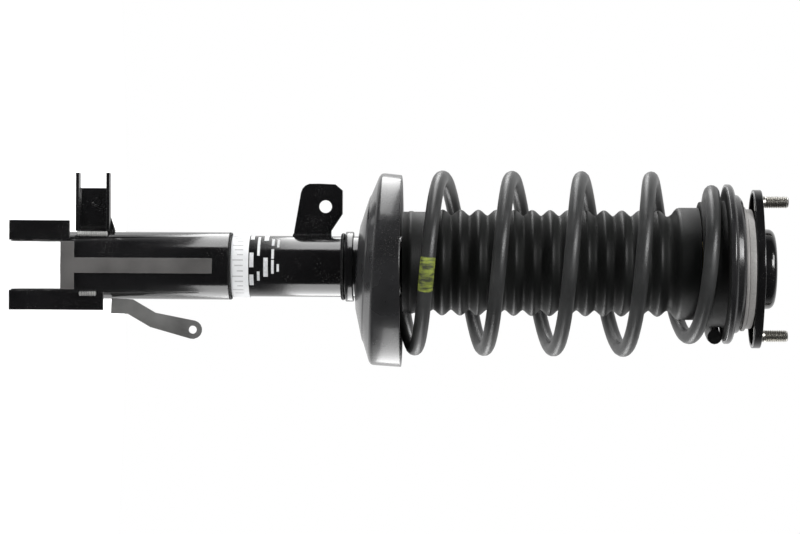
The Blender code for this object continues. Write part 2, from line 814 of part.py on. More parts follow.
def make_back_plate(parent):
    low = (-EAR_INNER + GAP, TUBE_RADIUS + 0.0006, -0.556)
    high = (EAR_INNER - GAP, TUBE_RADIUS + 0.0036, -0.480)
    add_piece("bracket_back_plate", box_mesh("bracket_back_plate", low, high), "black_paint", parent)


# ---------------------------------------------------------------- small brackets and label


def make_hose_bracket(parent):
    base = WRAP_OUTER_RADIUS + 0.0004
    web_top = 0.065
    left = -0.5734
    right = -0.5449
    sheet = 0.0030
    depth = 0.0100
    web = [(left, base), (-0.5407, base), (right, base + 0.012), (right, web_top), (left, web_top)]
    mesh = sheet_mesh("hose_bracket", [web], 0.0025, side_sheet_matrix(0))
    bracket = add_piece("hose_bracket", mesh, "black_paint", parent)
    for name, start in (("a", left), ("b", right - sheet)):
        low = (-0.0776, -depth, start)
        high = (-base, 0.0005, start + sheet)
        join(bracket, add_helper("prong_" + name, box_mesh("prong_" + name, low, high)))


def make_link_bracket(parent):
    base = TUBE_RADIUS + GAP
    outline = [(-0.3592, base), (-0.3592, 0.0300), (-0.3500, 0.0440), (-0.3500, 0.0640)]
    outline += [(-0.3560, 0.0690), (-0.3700, 0.0696)]
    outline += arc((-0.3760, 0.0605), 0.0091, 80, 170, 4)
    outline += [(-0.3911, base)]
    hole = arc(LINK_HOLE, LINK_HOLE_RADIUS, 0, -345, 20)
    mesh = sheet_mesh("link_bracket", [outline, hole], PLATE_THICKNESS, side_sheet_matrix(0))
    bracket = add_piece("link_bracket", mesh, "black_paint", parent)
    low = (-0.0640, -0.0020, -0.3540)
    high = (-0.0440, 0.0090, -0.3500)
    join(bracket, add_helper("link_lip", box_mesh("link_lip", low, high)))


def strap_outline():
    """A strip of even width along a gently bent line, with a round end about the eye."""
    line = [(-0.5430, 0.0338), (-0.5270, 0.0345), (-0.5080, 0.0455), STRAP_EYE]
    upper = []
    lower = []
    for i, (z, x) in enumerate(line[:-1]):
        ahead = Vector(line[i + 1]) - Vector(line[max(i - 1, 0)])
        side = Vector((-ahead.y, ahead.x)).normalized() * STRAP_HALF_WIDTH
        upper.append((z + side.x, x + side.y))
        lower.append((z - side.x, x - side.y))
    end = Vector(STRAP_EYE) - Vector(line[-2])
    heading = math.degrees(math.atan2(end.y, end.x))
    round_end = arc(STRAP_EYE, STRAP_HALF_WIDTH + 0.0014, heading + 90, heading - 90, 8)
    return upper + round_end + lower[::-1]


def make_sensor_strap(parent):
    hole = arc(STRAP_EYE, STRAP_EYE_RADIUS, 0, -345, 16)
    flip = Matrix.Scale(-1, 4, (1, 0, 0))
    matrix = flip @ side_sheet_matrix(STRAP_Y)
    mesh = sheet_mesh("sensor_strap", [strap_outline(), hole], STRAP_THICKNESS, matrix)
    add_piece("sensor_strap", mesh, "strap_steel", parent)


def make_label_band(parent):
    points = ring_profile(TUBE_RADIUS + GAP, TUBE_RADIUS + 0.0007, -0.4435, -0.4270)
    turned_ring("label_band", points, "label_white", parent, STEPS_LARGE)


# ---------------------------------------------------------------- assembly


def add_group(name):
    """An empty on the damper axis that carries one moving group."""
    group = bpy.data.objects.new(name, None)
    group.empty_display_size = 0.03
    bpy.data.collections["strut_assembly"].objects.link(group)
    return group


def smooth_round_pieces():
    for obj in bpy.data.collections["strut_assembly"].objects:
        if obj.type == "MESH" and len(obj.data.polygons):
            smooth(obj.data)


def main():
    clear_scene()
    bpy.context.scene.unit_settings.scale_length = 1
    new_collection("strut_assembly", True)
    new_collection("helpers", False)

    mount = add_group("top_mount_group")
    make_mount_plate(mount)
    make_mount_dome(mount)
    make_studs(mount)
    make_mount_core(mount)
    make_nut("rod_nut", 0.0180, ROD_THREAD_RADIUS + GAP, 0.0046, 0.0090, "zinc", mount)
    make_rod(mount)
    make_piston(mount)
    make_nut("piston_nut", 0.0220, ROD_TAIL_RADIUS + GAP, -0.3030, -0.2979, "plain_steel", mount)
    make_bump_stop(mount)
    make_upper_race(mount)

    make_ball_cage(add_group("ball_cage_group"))

    spring = add_group("spring_group")
    make_lower_race(spring)
    make_upper_seat(spring)
    make_upper_insulator(spring)
    make_dust_boot(spring)
    make_coil_spring(spring)

    damper = add_group("damper_group")
    make_damper_inside(damper)
    make_seat_collar(damper)
    make_lower_seat(damper)
    make_knuckle_bracket(damper)
    make_back_plate(damper)
    make_hose_bracket(damper)
    make_link_bracket(damper)
    make_sensor_strap(damper)
    make_label_band(damper)
    smooth_round_pieces()


main()
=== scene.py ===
"""Models the visible pieces of a front coil-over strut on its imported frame, and gives every piece its finish.

Metres, +Z up along the damper axis, the origin on the outer face of the mount plate.
"""

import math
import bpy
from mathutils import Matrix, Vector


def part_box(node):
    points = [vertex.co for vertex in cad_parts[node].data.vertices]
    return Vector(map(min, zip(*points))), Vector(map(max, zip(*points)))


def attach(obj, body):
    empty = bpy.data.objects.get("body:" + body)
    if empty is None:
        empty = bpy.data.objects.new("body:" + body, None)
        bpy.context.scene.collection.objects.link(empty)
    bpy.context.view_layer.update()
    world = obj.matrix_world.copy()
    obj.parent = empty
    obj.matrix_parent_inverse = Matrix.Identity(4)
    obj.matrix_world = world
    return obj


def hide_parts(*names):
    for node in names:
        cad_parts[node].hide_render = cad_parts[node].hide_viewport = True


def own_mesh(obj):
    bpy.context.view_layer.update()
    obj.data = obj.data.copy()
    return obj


bl_info = {
    "name": "Coil-over Strut",
    "version": (1, 0, 0),
    "blender": (4, 5, 0),
    "location": "3D View > Sidebar > Strut",
    "description": "Models a coil-over strut piece by piece on its packed frame",
    "category": "Add Mesh",
}

import bpy
from bpy.props import FloatProperty, FloatVectorProperty, IntProperty, PointerProperty
from mathutils import Matrix, Vector

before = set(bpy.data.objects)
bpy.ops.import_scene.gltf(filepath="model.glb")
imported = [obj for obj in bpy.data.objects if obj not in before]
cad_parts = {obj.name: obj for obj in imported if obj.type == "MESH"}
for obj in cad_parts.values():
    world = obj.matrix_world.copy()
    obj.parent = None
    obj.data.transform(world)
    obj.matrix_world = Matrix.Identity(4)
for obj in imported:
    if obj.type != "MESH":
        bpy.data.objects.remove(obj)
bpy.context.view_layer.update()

TUBE_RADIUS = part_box("outer_tube")[1].x
TUBE_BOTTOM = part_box("outer_tube")[0].z
TUBE_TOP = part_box("outer_tube")[1].z
SEAT_LEAN = math.radians(-3)
SEAT_PLACE = (0.0018, 0, -0.3205)
FLOOR_LEVEL = -0.6290
CAMERA_PLACE = (0.0, -2.200, -0.250)
CAMERA_TARGET = (0.0, 0.0, -0.3015)
CAMERA_ROLL = math.radians(0.34)
SEAT_SHIFT = -0.0040  # the upper seat, its insulator and the boot stand this far off the axis
ROUND_STEPS = 96
MM = 0.001


# ---------------------------------------------------------------- settings


def length(name, description, default, low=0.0001, high=0.5):
    return FloatProperty(
        name=name, description=description, default=default, min=low, max=high, precision=4, unit="LENGTH"
    )


def colour(name, description, default):
    return FloatVectorProperty(
        name=name, description=description, default=default, size=3, min=0, max=1, subtype="COLOR"
    )


class StrutSizes(bpy.types.PropertyGroup):
    """Sizes of the modelled pieces."""

    wire_radius: length("Wire radius", "Half the thickness of the spring wire", 0.0062)
    coil_radius: length("Coil radius", "From the spring's axis to the middle of the wire", 0.0716)
    coil_pitch: length("Coil pitch", "Rise of one active turn", 0.0581)
    boot_ridge_radius: length("Boot ridge radius", "Outside of the bellows", 0.0445)
    boot_valley_radius: length("Boot valley radius", "Bottom of the folds", 0.0395)
    boot_wall: length("Boot wall", "Thickness of the bellows", 0.0013)
    boot_ridges: IntProperty(name="Boot ridges", description="Number of folds", default=13, min=3, max=20)
    seat_radius: length("Lower seat radius", "Outside of the lower spring seat", 0.0806)
    sheet_round: length("Sheet rounding", "Radius of the edges of pressed sheet", 0.0006)
    stud_radius: length("Stud radius", "Outside of the stud thread", 0.0050)
    thread_pitch: length("Thread pitch", "Rise of one turn of the stud thread", 0.0015)


class StrutFinishes(bpy.types.PropertyGroup):
    """Colours of the finishes."""

    gloss_paint: colour("Gloss paint", "Tube, knuckle bracket and small brackets", (0.006, 0.006, 0.0065))
    seat_paint: colour("Seat paint", "Spring seats", (0.020, 0.020, 0.021))
    spring_paint: colour("Spring paint", "Powder coat of the coil", (0.034, 0.035, 0.035))
    rubber: colour("Rubber", "Boot and insulators", (0.0075, 0.0082, 0.0078))
    zinc: colour("Zinc", "Studs, nut and washer", (0.56, 0.55, 0.52))
    bare_steel: colour("Bare steel", "Strap and inner parts", (0.44, 0.44, 0.43))
    bearing: colour("Bearing plastic", "Rings of the steering bearing", (0.40, 0.39, 0.38))
    urethane: colour("Urethane", "Bump stop", (0.62, 0.50, 0.20))
    label: colour("Label", "Plain label band", (0.83, 0.84, 0.85))
    mark: colour("Paint mark", "Daub on the spring", (0.30, 0.36, 0.06))
    floor: colour("Floor", "Plain floor", (0.93, 0.93, 0.93))


# ---------------------------------------------------------------- shared shader groups


def new_group(name, inputs, outputs):
    """An empty node group with named sockets, and its two end nodes."""
    group = bpy.data.node_groups.new(name, "ShaderNodeTree")
    for label, kind, default in inputs:
        socket = group.interface.new_socket(label, in_out="INPUT", socket_type=kind)
        if default is not None:
            socket.default_value = default
    for label, kind in outputs:
        group.interface.new_socket(label, in_out="OUTPUT", socket_type=kind)
    return group, group.nodes.new("NodeGroupInput"), group.nodes.new("NodeGroupOutput")


def new_math(tree, operation, first, second=None, clamp=False):
    """A Math node fed by sockets or numbers, and its output."""
    node = tree.nodes.new("ShaderNodeMath")
    node.operation = operation
    node.use_clamp = clamp
    for index, value in enumerate((first, second)):
        if isinstance(value, bpy.types.NodeSocket):
            tree.links.new(value, node.inputs[index])
        elif value is not None:
            node.inputs[index].default_value = value
    return node.outputs[0]


def new_noise(tree, position, scale, detail=3.0, stretch=None):
    """A noise between about 0.2 and 0.8 at so many grains per metre."""
    if stretch:
        mapping = tree.nodes.new("ShaderNodeMapping")
        mapping.inputs["Scale"].default_value = stretch
        tree.links.new(position, mapping.inputs["Vector"])
        position = mapping.outputs[0]
    noise = tree.nodes.new("ShaderNodeTexNoise")
    noise.inputs["Detail"].default_value = detail
    tree.links.new(position, noise.inputs["Vector"])
    if isinstance(scale, bpy.types.NodeSocket):
        tree.links.new(scale, noise.inputs["Scale"])
    else:
        noise.inputs["Scale"].default_value = scale
    return noise.outputs["Fac"]


def new_range(tree, value, low, high, to_low, to_high):
    node = tree.nodes.new("ShaderNodeMapRange")
    tree.links.new(value, node.inputs["Value"])
    for label, number in (("From Min", low), ("From Max", high), ("To Min", to_low), ("To Max", to_high)):
        if isinstance(number, bpy.types.NodeSocket):
            tree.links.new(number, node.inputs[label])
        else:
            node.inputs[label].default_value = number
    return node.outputs[0]


def new_mix(tree, factor, first, second, blend="MIX"):
    """A colour mix fed by sockets or colours, and its output."""
    node = tree.nodes.new("ShaderNodeMix")
    node.data_type = "RGBA"
    node.blend_type = blend
    for index, value in ((0, factor), (6, first), (7, second)):
        if isinstance(value, bpy.types.NodeSocket):
            tree.links.new(value, node.inputs[index])
        elif index:
            node.inputs[index].default_value = (*value, 1)
        else:
            node.inputs[index].default_value = value
    return node.outputs[2]


def build_variation_group():
    """Slow cloudiness, fine grain and scattered specks over a surface."""
    group, start, end = new_group(
        "Surface variation",
        [
            ("Position", "NodeSocketVector", None),
            ("Cloud Scale", "NodeSocketFloat", 30.0),
            ("Grain Scale", "NodeSocketFloat", 900.0),
        ],
        [("Cloud", "NodeSocketFloat"), ("Grain", "NodeSocketFloat"), ("Specks", "NodeSocketFloat")],
    )
    position = start.outputs["Position"]
    cloud = new_noise(group, position, start.outputs["Cloud Scale"], 5.0)
    group.links.new(new_range(group, cloud, 0.32, 0.68, 0.0, 1.0), end.inputs["Cloud"])
    group.links.new(new_noise(group, position, start.outputs["Grain Scale"], 2.0), end.inputs["Grain"])
    fine = new_noise(group, position, 1400.0, 1.0)
    patch = new_range(group, new_noise(group, position, 45.0, 2.0), 0.45, 0.62, 0.0, 1.0)
    specks = new_range(group, fine, 0.64, 0.72, 0.0, 1.0)
    group.links.new(new_math(group, "MULTIPLY", specks, patch), end.inputs["Specks"])
    return group


def build_edge_group():
    """A broken line along sharp edges, where a coating is thin or rubbed."""
    group, start, end = new_group(
        "Edge wear",
        [("Position", "NodeSocketVector", None), ("Width", "NodeSocketFloat", 0.0008)],
        [("Mask", "NodeSocketFloat")],
    )
    rounded = group.nodes.new("ShaderNodeBevel")
    rounded.samples = 6
    group.links.new(start.outputs["Width"], rounded.inputs["Radius"])
    plain = group.nodes.new("ShaderNodeNewGeometry")
    turn = group.nodes.new("ShaderNodeVectorMath")
    turn.operation = "DOT_PRODUCT"
    group.links.new(rounded.outputs[0], turn.inputs[0])
    group.links.new(plain.outputs["Normal"], turn.inputs[1])
    edge = new_range(group, turn.outputs["Value"], 0.995, 0.90, 0.0, 1.0)
    broken = new_range(group, new_noise(group, start.outputs["Position"], 160.0, 4.0), 0.40, 0.60, 0.15, 1.0)
    group.links.new(new_math(group, "MULTIPLY", edge, broken, clamp=True), end.inputs["Mask"])
    return group


def build_fold_group():
    """Dust that settles towards the inside of the folds round an upright axis."""
    group, start, end = new_group(
        "Fold dust",
        [
            ("Position", "NodeSocketVector", None),
            ("Inside Radius", "NodeSocketFloat", 0.0395),
            ("Outside Radius", "NodeSocketFloat", 0.0445),
            ("Shift", "NodeSocketFloat", -0.004),
        ],
        [("Mask", "NodeSocketFloat")],
    )
    parts = group.nodes.new("ShaderNodeSeparateXYZ")
    group.links.new(start.outputs["Position"], parts.inputs[0])
    across = new_math(group, "SUBTRACT", parts.outputs["X"], start.outputs["Shift"])
    squared = new_math(
        group,
        "ADD",
        new_math(group, "POWER", new_math(group, "ABSOLUTE", across), 2.0),
        new_math(group, "POWER", new_math(group, "ABSOLUTE", parts.outputs["Y"]), 2.0),
    )
    radius = new_math(group, "SQRT", squared)
    depth = new_range(
        group, radius, start.outputs["Outside Radius"], start.outputs["Inside Radius"], 0.0, 1.0
    )
    patchy = new_range(group, new_noise(group, start.outputs["Position"], 55.0, 4.0), 0.35, 0.65, 0.3, 1.0)
    group.links.new(new_math(group, "MULTIPLY", depth, patchy, clamp=True), end.inputs["Mask"])
    return group


GROUPS = {}


def use_group(tree, name, position, **values):
    """Places a shared group in a material, with its own values."""
    node = tree.nodes.new("ShaderNodeGroup")
    node.node_tree = GROUPS[name]
    tree.links.new(position, node.inputs["Position"])
    for label, value in values.items():
        node.inputs[label.replace("_", " ")].default_value = value
    return node


# ---------------------------------------------------------------- finishes


def new_finish(name, **constants):
    """A material with its Principled shader, and the place of each point on the piece."""
    material = bpy.data.materials.new(name)
    material.use_nodes = True
    tree = material.node_tree
    shader = tree.nodes["Principled BSDF"]
    for label, value in constants.items():
        shader.inputs[label.replace("_", " ")].default_value = value
    position = tree.nodes.new("ShaderNodeTexCoord").outputs["Object"]
    return material, tree, shader, position


def add_bump(tree, shader, height, strength, distance):
    bump = tree.nodes.new("ShaderNodeBump")
    bump.inputs["Strength"].default_value = strength
    bump.inputs["Distance"].default_value = distance
    tree.links.new(height, bump.inputs["Height"])
    tree.links.new(bump.outputs[0], shader.inputs["Normal"])


def shade(rgb, factor):
    return tuple(min(1.0, part * factor) for part in rgb)


def coated_metal(name, rgb, roughness, peel=0.12, wear=0.35, grain=700.0, coat=0.0, metallic=0.0):
    """Paint or powder coat over steel: cloudy gloss, orange peel, specks and thin edges."""
    material, tree, shader, position = new_finish(
        name, Metallic=metallic, Coat_Weight=coat, Coat_Roughness=0.08
    )
    surface = use_group(tree, "variation", position, Cloud_Scale=26.0, Grain_Scale=grain)
    edges = use_group(tree, "edge", position, Width=0.0009)
    tone = new_mix(tree, surface.outputs["Cloud"], shade(rgb, 0.75), shade(rgb, 1.35))
    worn = new_math(tree, "MULTIPLY", edges.outputs["Mask"], wear)
    tone = new_mix(tree, worn, tone, shade((0.30, 0.30, 0.29), 0.8))
    specks = new_math(tree, "MULTIPLY", surface.outputs["Specks"], 0.25)
    tone = new_mix(tree, specks, tone, (0.18, 0.17, 0.16))
    tree.links.new(tone, shader.inputs["Base Color"])
    rough = new_range(tree, surface.outputs["Cloud"], 0.0, 1.0, roughness * 0.8, roughness * 1.3)
    rough = new_math(tree, "ADD", rough, specks, clamp=True)
    tree.links.new(rough, shader.inputs["Roughness"])
    add_bump(tree, shader, surface.outputs["Grain"], peel, 0.0004)
    return material


def moulded(name, rgb, roughness, grain=1200.0, bump=0.25, dust=0.12, dust_rgb=(0.07, 0.07, 0.066)):
    """Rubber or plastic: fine grain, faint dust in clouds, dull sheen."""
    material, tree, shader, position = new_finish(name, Specular_IOR_Level=0.3)
    surface = use_group(tree, "variation", position, Cloud_Scale=38.0, Grain_Scale=grain)
    tone = new_mix(tree, surface.outputs["Grain"], shade(rgb, 0.7), shade(rgb, 1.3))
    settled = new_math(tree, "MULTIPLY", surface.outputs["Cloud"], dust)
    tone = new_mix(tree, settled, tone, dust_rgb)
    tree.links.new(tone, shader.inputs["Base Color"])
    rough = new_range(tree, surface.outputs["Cloud"], 0.0, 1.0, roughness * 0.88, min(1.0, roughness * 1.12))
    tree.links.new(rough, shader.inputs["Roughness"])
    add_bump(tree, shader, surface.outputs["Grain"], bump, 0.0005)
    return material


def folded_rubber(name, rgb, sizes):
    """The boot's rubber: matt ridges that have been rubbed, and dust inside the folds."""
    material, tree, shader, position = new_finish(name, Specular_IOR_Level=0.28)
    surface = use_group(tree, "variation", position, Cloud_Scale=30.0, Grain_Scale=1300.0)
    folds = use_group(
        tree,
        "fold",
        position,
        Inside_Radius=sizes.boot_valley_radius,
        Outside_Radius=sizes.boot_ridge_radius,
        Shift=SEAT_SHIFT,
    )
    tone = new_mix(tree, surface.outputs["Grain"], shade(rgb, 0.75), shade(rgb, 1.3))
    tone = new_mix(tree, new_math(tree, "MULTIPLY", folds.outputs["Mask"], 0.3), tone, (0.018, 0.019, 0.017))
    tree.links.new(tone, shader.inputs["Base Color"])
    tree.links.new(new_range(tree, folds.outputs["Mask"], 0.0, 1.0, 0.42, 0.75), shader.inputs["Roughness"])
    add_bump(tree, shader, surface.outputs["Grain"], 0.2, 0.0005)
    return material


def bare_metal(
    name, rgb, roughness, lines=(1.0, 1.0, 40.0), line_scale=35.0, wear=0.25, tint=(0.50, 0.46, 0.36)
):
    """Plated or machined metal: fine tool lines, a faint warm bloom and brighter edges."""
    material, tree, shader, position = new_finish(name, Metallic=1.0)
    surface = use_group(tree, "variation", position, Cloud_Scale=55.0, Grain_Scale=1100.0)
    edges = use_group(tree, "edge", position, Width=0.0006)
    drawn = new_noise(tree, position, line_scale, 4.0, lines)
    tone = new_mix(tree, drawn, shade(rgb, 0.78), shade(rgb, 1.18))
    tone = new_mix(tree, new_math(tree, "MULTIPLY", surface.outputs["Cloud"], 0.22), tone, tint)
    tone = new_mix(tree, new_math(tree, "MULTIPLY", edges.outputs["Mask"], wear), tone, shade(rgb, 1.5))
    tree.links.new(tone, shader.inputs["Base Color"])
    rough = new_range(tree, drawn, 0.25, 0.75, roughness * 0.75, roughness * 1.3)
    tree.links.new(rough, shader.inputs["Roughness"])
    add_bump(tree, shader, drawn, 0.12, 0.0003)
    return material


def printed_label(name, rgb):
    """Plastic film with faint print dots and scuffs."""
    material, tree, shader, position = new_finish(name, Coat_Weight=0.2, Coat_Roughness=0.2)
    surface = use_group(tree, "variation", position, Cloud_Scale=70.0, Grain_Scale=600.0)
    tone = new_mix(tree, surface.outputs["Cloud"], shade(rgb, 0.90), rgb)
    tone = new_mix(tree, new_math(tree, "MULTIPLY", surface.outputs["Specks"], 0.5), tone, (0.45, 0.45, 0.46))
    tree.links.new(tone, shader.inputs["Base Color"])
    tree.links.new(new_range(tree, surface.outputs["Cloud"], 0.0, 1.0, 0.30, 0.5), shader.inputs["Roughness"])
    add_bump(tree, shader, surface.outputs["Grain"], 0.05, 0.0003)
    return material


def brushed_daub(name, rgb, under):
    """Marking paint dabbed on by brush: streaks where the coat below shows through."""
    material, tree, shader, position = new_finish(name, Specular_IOR_Level=0.4)
    surface = use_group(tree, "variation", position, Cloud_Scale=120.0, Grain_Scale=700.0)
    streaks = new_noise(tree, position, 150.0, 4.0, (3.0, 1.0, 0.7))
    cover = new_range(tree, streaks, 0.38, 0.60, 0.12, 1.0)
    daub = new_mix(tree, surface.outputs["Cloud"], shade(rgb, 0.6), shade(rgb, 1.25))
    tone = new_mix(tree, cover, under, daub)
    tree.links.new(tone, shader.inputs["Base Color"])
    tree.links.new(new_range(tree, cover, 0.0, 1.0, 0.40, 0.62), shader.inputs["Roughness"])
    add_bump(tree, shader, surface.outputs["Grain"], 0.3, 0.0004)
    return material


FINISHES = {}


def build_finishes(colours, sizes):
    GROUPS["variation"] = build_variation_group()
    GROUPS["edge"] = build_edge_group()
    GROUPS["fold"] = build_fold_group()
    gloss = tuple(colours.gloss_paint)
    steel = tuple(colours.bare_steel)
    rubber = tuple(colours.rubber)
    FINISHES["gloss_paint"] = coated_metal("gloss paint", gloss, 0.16, peel=0.10, coat=0.4)
    # Lighter grey for the knuckle faces that look towards the camera: a painted reflection of the light; only
    # its worn edges are real wear.
    FINISHES["flat_paint"] = coated_metal("front painted reflection paint", (0.085, 0.082, 0.080), 0.45, peel=0.2, wear=0.5)
    FINISHES["cap_paint"] = coated_metal("cap paint", shade(gloss, 1.6), 0.32, peel=0.15)
    FINISHES["weld_paint"] = coated_metal(
        "painted weld", shade(gloss, 1.4), 0.22, peel=0.5, wear=0.1, grain=450.0
    )
    FINISHES["seat_paint"] = coated_metal("seat paint", tuple(colours.seat_paint), 0.24, peel=0.12, coat=0.3)
    FINISHES["spring_paint"] = coated_metal(
        "spring powder coat", tuple(colours.spring_paint), 0.38, peel=0.35, wear=0.1, grain=1000.0
    )
    FINISHES["boot"] = folded_rubber("bellows rubber", rubber, sizes)
    FINISHES["rubber"] = moulded("insulator rubber", rubber, 0.62)
    FINISHES["zinc"] = bare_metal("zinc plate", tuple(colours.zinc), 0.30)
    FINISHES["strap"] = coated_metal(
        "dipped strap", shade(steel, 0.42), 0.36, peel=0.2, wear=0.5, grain=500.0, metallic=0.3
    )
    FINISHES["steel"] = bare_metal("machined steel", steel, 0.36)
    FINISHES["chrome"] = bare_metal("hard chrome", (0.66, 0.66, 0.67), 0.10, wear=0.05, tint=(0.6, 0.6, 0.62))
    FINISHES["bearing"] = moulded(
        "bearing plastic", tuple(colours.bearing), 0.45, grain=800.0, bump=0.1, dust=0.2
    )
    FINISHES["urethane"] = moulded(
        "foam urethane", tuple(colours.urethane), 0.8, grain=700.0, bump=0.6, dust_rgb=(0.42, 0.34, 0.15)
    )
    FINISHES["ptfe"] = moulded("bronze filled band", (0.10, 0.16, 0.14), 0.5, grain=900.0, bump=0.15)
    FINISHES["label"] = printed_label("label film", tuple(colours.label))
    FINISHES["mark"] = brushed_daub("paint daub", tuple(colours.mark), tuple(colours.spring_paint))
    # The flange welds are real beads; their bright steel colour is a painted highlight where the light catches
    # them.
    FINISHES["weld_painted_highlight"] = coated_metal(
        "weld with painted highlight", shade(steel, 0.85), 0.28, peel=0.4, wear=0.6, grain=600.0, metallic=0.25
    )
    FINISHES["tick"] = moulded("grey print", (0.52, 0.52, 0.53), 0.5, grain=800.0, bump=0.05)
    FINISHES["print"] = moulded("white print", (0.74, 0.75, 0.76), 0.5, grain=700.0, bump=0.1, dust=0.3)


# ---------------------------------------------------------------- modelling helpers


def start_clean():
    """Object mode, with nothing selected."""
    if bpy.context.mode != "OBJECT":
        bpy.ops.object.mode_set(mode="OBJECT")
    bpy.ops.object.select_all(action="DESELECT")


def edit(piece):
    start_clean()
    piece.select_set(True)
    bpy.context.view_layer.objects.active = piece
    bpy.ops.object.mode_set(mode="EDIT")
    bpy.ops.mesh.select_all(action="SELECT")


def pick_faces(piece, wanted):
    """Edit mode, with only the wanted faces selected."""
    edit(piece)
    bpy.ops.mesh.select_mode(type="FACE")
    bpy.ops.mesh.select_all(action="DESELECT")
    bpy.ops.object.mode_set(mode="OBJECT")
    for face in piece.data.polygons:
        face.select = wanted(face)
    if not any(face.select for face in piece.data.polygons):
        raise RuntimeError("no face of " + piece.name + " is where it was expected")
    bpy.ops.object.mode_set(mode="EDIT")


def name_piece(name):
    piece = bpy.context.active_object
    piece.name = name
    piece.data.name = name
    return piece


def settle():
    """Puts the active piece's place into its mesh, with doubles merged and faces outwards."""
    if bpy.context.mode != "EDIT_MESH":
        bpy.ops.object.mode_set(mode="EDIT")
    bpy.ops.mesh.select_all(action="SELECT")
    bpy.ops.mesh.remove_doubles(threshold=0.00001)
    bpy.ops.mesh.normals_make_consistent(inside=False)
    bpy.ops.object.mode_set(mode="OBJECT")
    bpy.ops.object.transform_apply(location=True, rotation=True, scale=True)


def apply_modifier(piece, kind, **settings):
    modifier = piece.modifiers.new(kind.lower(), kind)
    for name, value in settings.items():
        setattr(modifier, name, value)
    bpy.context.view_layer.objects.active = piece
    bpy.ops.object.modifier_apply(modifier=modifier.name)


def round_edges(piece, width, segments=3, angle=32.0):
    apply_modifier(
        piece,
        "BEVEL",
        width=width,
        segments=segments,
        limit_method="ANGLE",
        angle_limit=math.radians(angle),
        use_clamp_overlap=True,
    )


def finish_piece(piece, body, finish, slot_name, *stands_for, angle=40.0):
    """Smooths a piece, gives it its finish, and hangs it on its body."""
    start_clean()
    piece.select_set(True)
    bpy.context.view_layer.objects.active = piece
    bpy.ops.object.shade_smooth_by_angle(angle=math.radians(angle))
    piece.data.materials.clear()
    piece.data.materials.append(FINISHES[finish])
    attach(piece, body)
    if stands_for:
        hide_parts(*stands_for)
    return piece


def draw_profile(name, points, centre, closed):
    """A line in the XZ plane, from a plane merged to a point and extruded from corner to corner."""
    start_clean()
    first = points[0]
    bpy.ops.mesh.primitive_plane_add(size=0.002, location=(centre + first[0], 0, first[1]))
    piece = name_piece(name)
    bpy.ops.object.mode_set(mode="EDIT")
    bpy.ops.mesh.select_all(action="SELECT")
    bpy.ops.mesh.merge(type="CENTER")
    here = first
    for there in points[1:] + (points[:1] if closed else []):
        bpy.ops.mesh.extrude_region_move(
            TRANSFORM_OT_translate={"value": (there[0] - here[0], 0, there[1] - here[1])}
        )
        here = there
    return piece


def turned(name, points, centre=0.0, closed=True, steps=ROUND_STEPS):
    """A piece turned about an upright axis. Points are (radius, height) in millimetres."""
    points = [(radius * MM, height * MM) for radius, height in points]
    piece = draw_profile(name, points, centre, closed)
    bpy.ops.mesh.select_all(action="SELECT")
    bpy.ops.mesh.remove_doubles(threshold=0.00001)
    bpy.ops.mesh.spin(steps=steps, angle=math.tau, center=(centre, 0, 0), axis=(0, 0, 1))
    settle()
    return piece


def from_node(node, name):
    """A merged copy of a CAD node's mesh, as the start of a pressed or cut piece."""
    start_clean()
    piece = bpy.data.objects.new(name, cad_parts[node].data.copy())
    piece.data.name = name
    bpy.context.scene.collection.objects.link(piece)
    edit(piece)
    bpy.ops.mesh.customdata_custom_splitnormals_clear()
    bpy.ops.mesh.remove_doubles(threshold=0.00001)
    bpy.ops.mesh.dissolve_limited(angle_limit=math.radians(2))
    settle()
    return piece


def wave_line(start, end, count, shape):
    """Points from a start height to an end height, each at the radius that shape gives."""
    levels = [start + (end - start) * i / count for i in range(count + 1)]
    return [(shape(level), level) for level in levels]


def arc_points(centre, radius, start, end, count):
    angles = [math.radians(start + (end - start) * i / count) for i in range(count + 1)]
    return [(centre[0] + radius * math.cos(a), centre[1] + radius * math.sin(a)) for a in angles]


def weld_bead(name, path, radius, body, finish="weld_paint", slot_name="black_paint"):
    """Overlapping flattened drops along a path, as one mesh."""
    start_clean()
    drops = []
    for i, place in enumerate(path):
        bpy.ops.mesh.primitive_uv_sphere_add(segments=12, ring_count=8, radius=radius, location=place)
        drops.append(bpy.context.active_object)
        ahead = Vector(path[min(i + 1, len(path) - 1)]) - Vector(path[max(i - 1, 0)])
        drops[-1].rotation_euler = ahead.to_track_quat("X", "Z").to_euler()
        drops[-1].scale = (0.62, 1.0, 1.0)
        bpy.ops.object.transform_apply(location=True, rotation=True, scale=True)
    for drop in drops:
        drop.select_set(True)
    bpy.context.view_layer.objects.active = drops[0]
    bpy.ops.object.join()
    piece = name_piece(name)
    bpy.ops.object.transform_apply(location=True, rotation=True, scale=True)
    return finish_piece(piece, body, finish, slot_name, angle=60)


def helix_level(turn, sizes):
    """Height of the wire's middle before the lean: the pitch ramps up over half a turn and down again."""
    start, dead, ramp_pitch, active, ramp = -0.310, 0.007, 0.0145, 5.0, 0.5
    extra = sizes.coil_pitch - ramp_pitch
    ramp_rise = ramp * (ramp_pitch + sizes.coil_pitch) / 2
    if turn < 0:
        return start + dead * turn
    if turn > active:
        return helix_level(active, sizes) + dead * (turn - active)
    if turn < ramp:
        share = turn / ramp
        return start + ramp_pitch * turn + ramp * extra * (share**3 - share**4 / 2)
    if turn > active - ramp:
        left = active - turn
        share = left / ramp
        whole = 2 * ramp_rise + sizes.coil_pitch * (active - 2 * ramp)
        return start + whole - ramp_pitch * left - ramp * extra * (share**3 - share**4 / 2)
    return start + ramp_rise + sizes.coil_pitch * (turn - ramp)


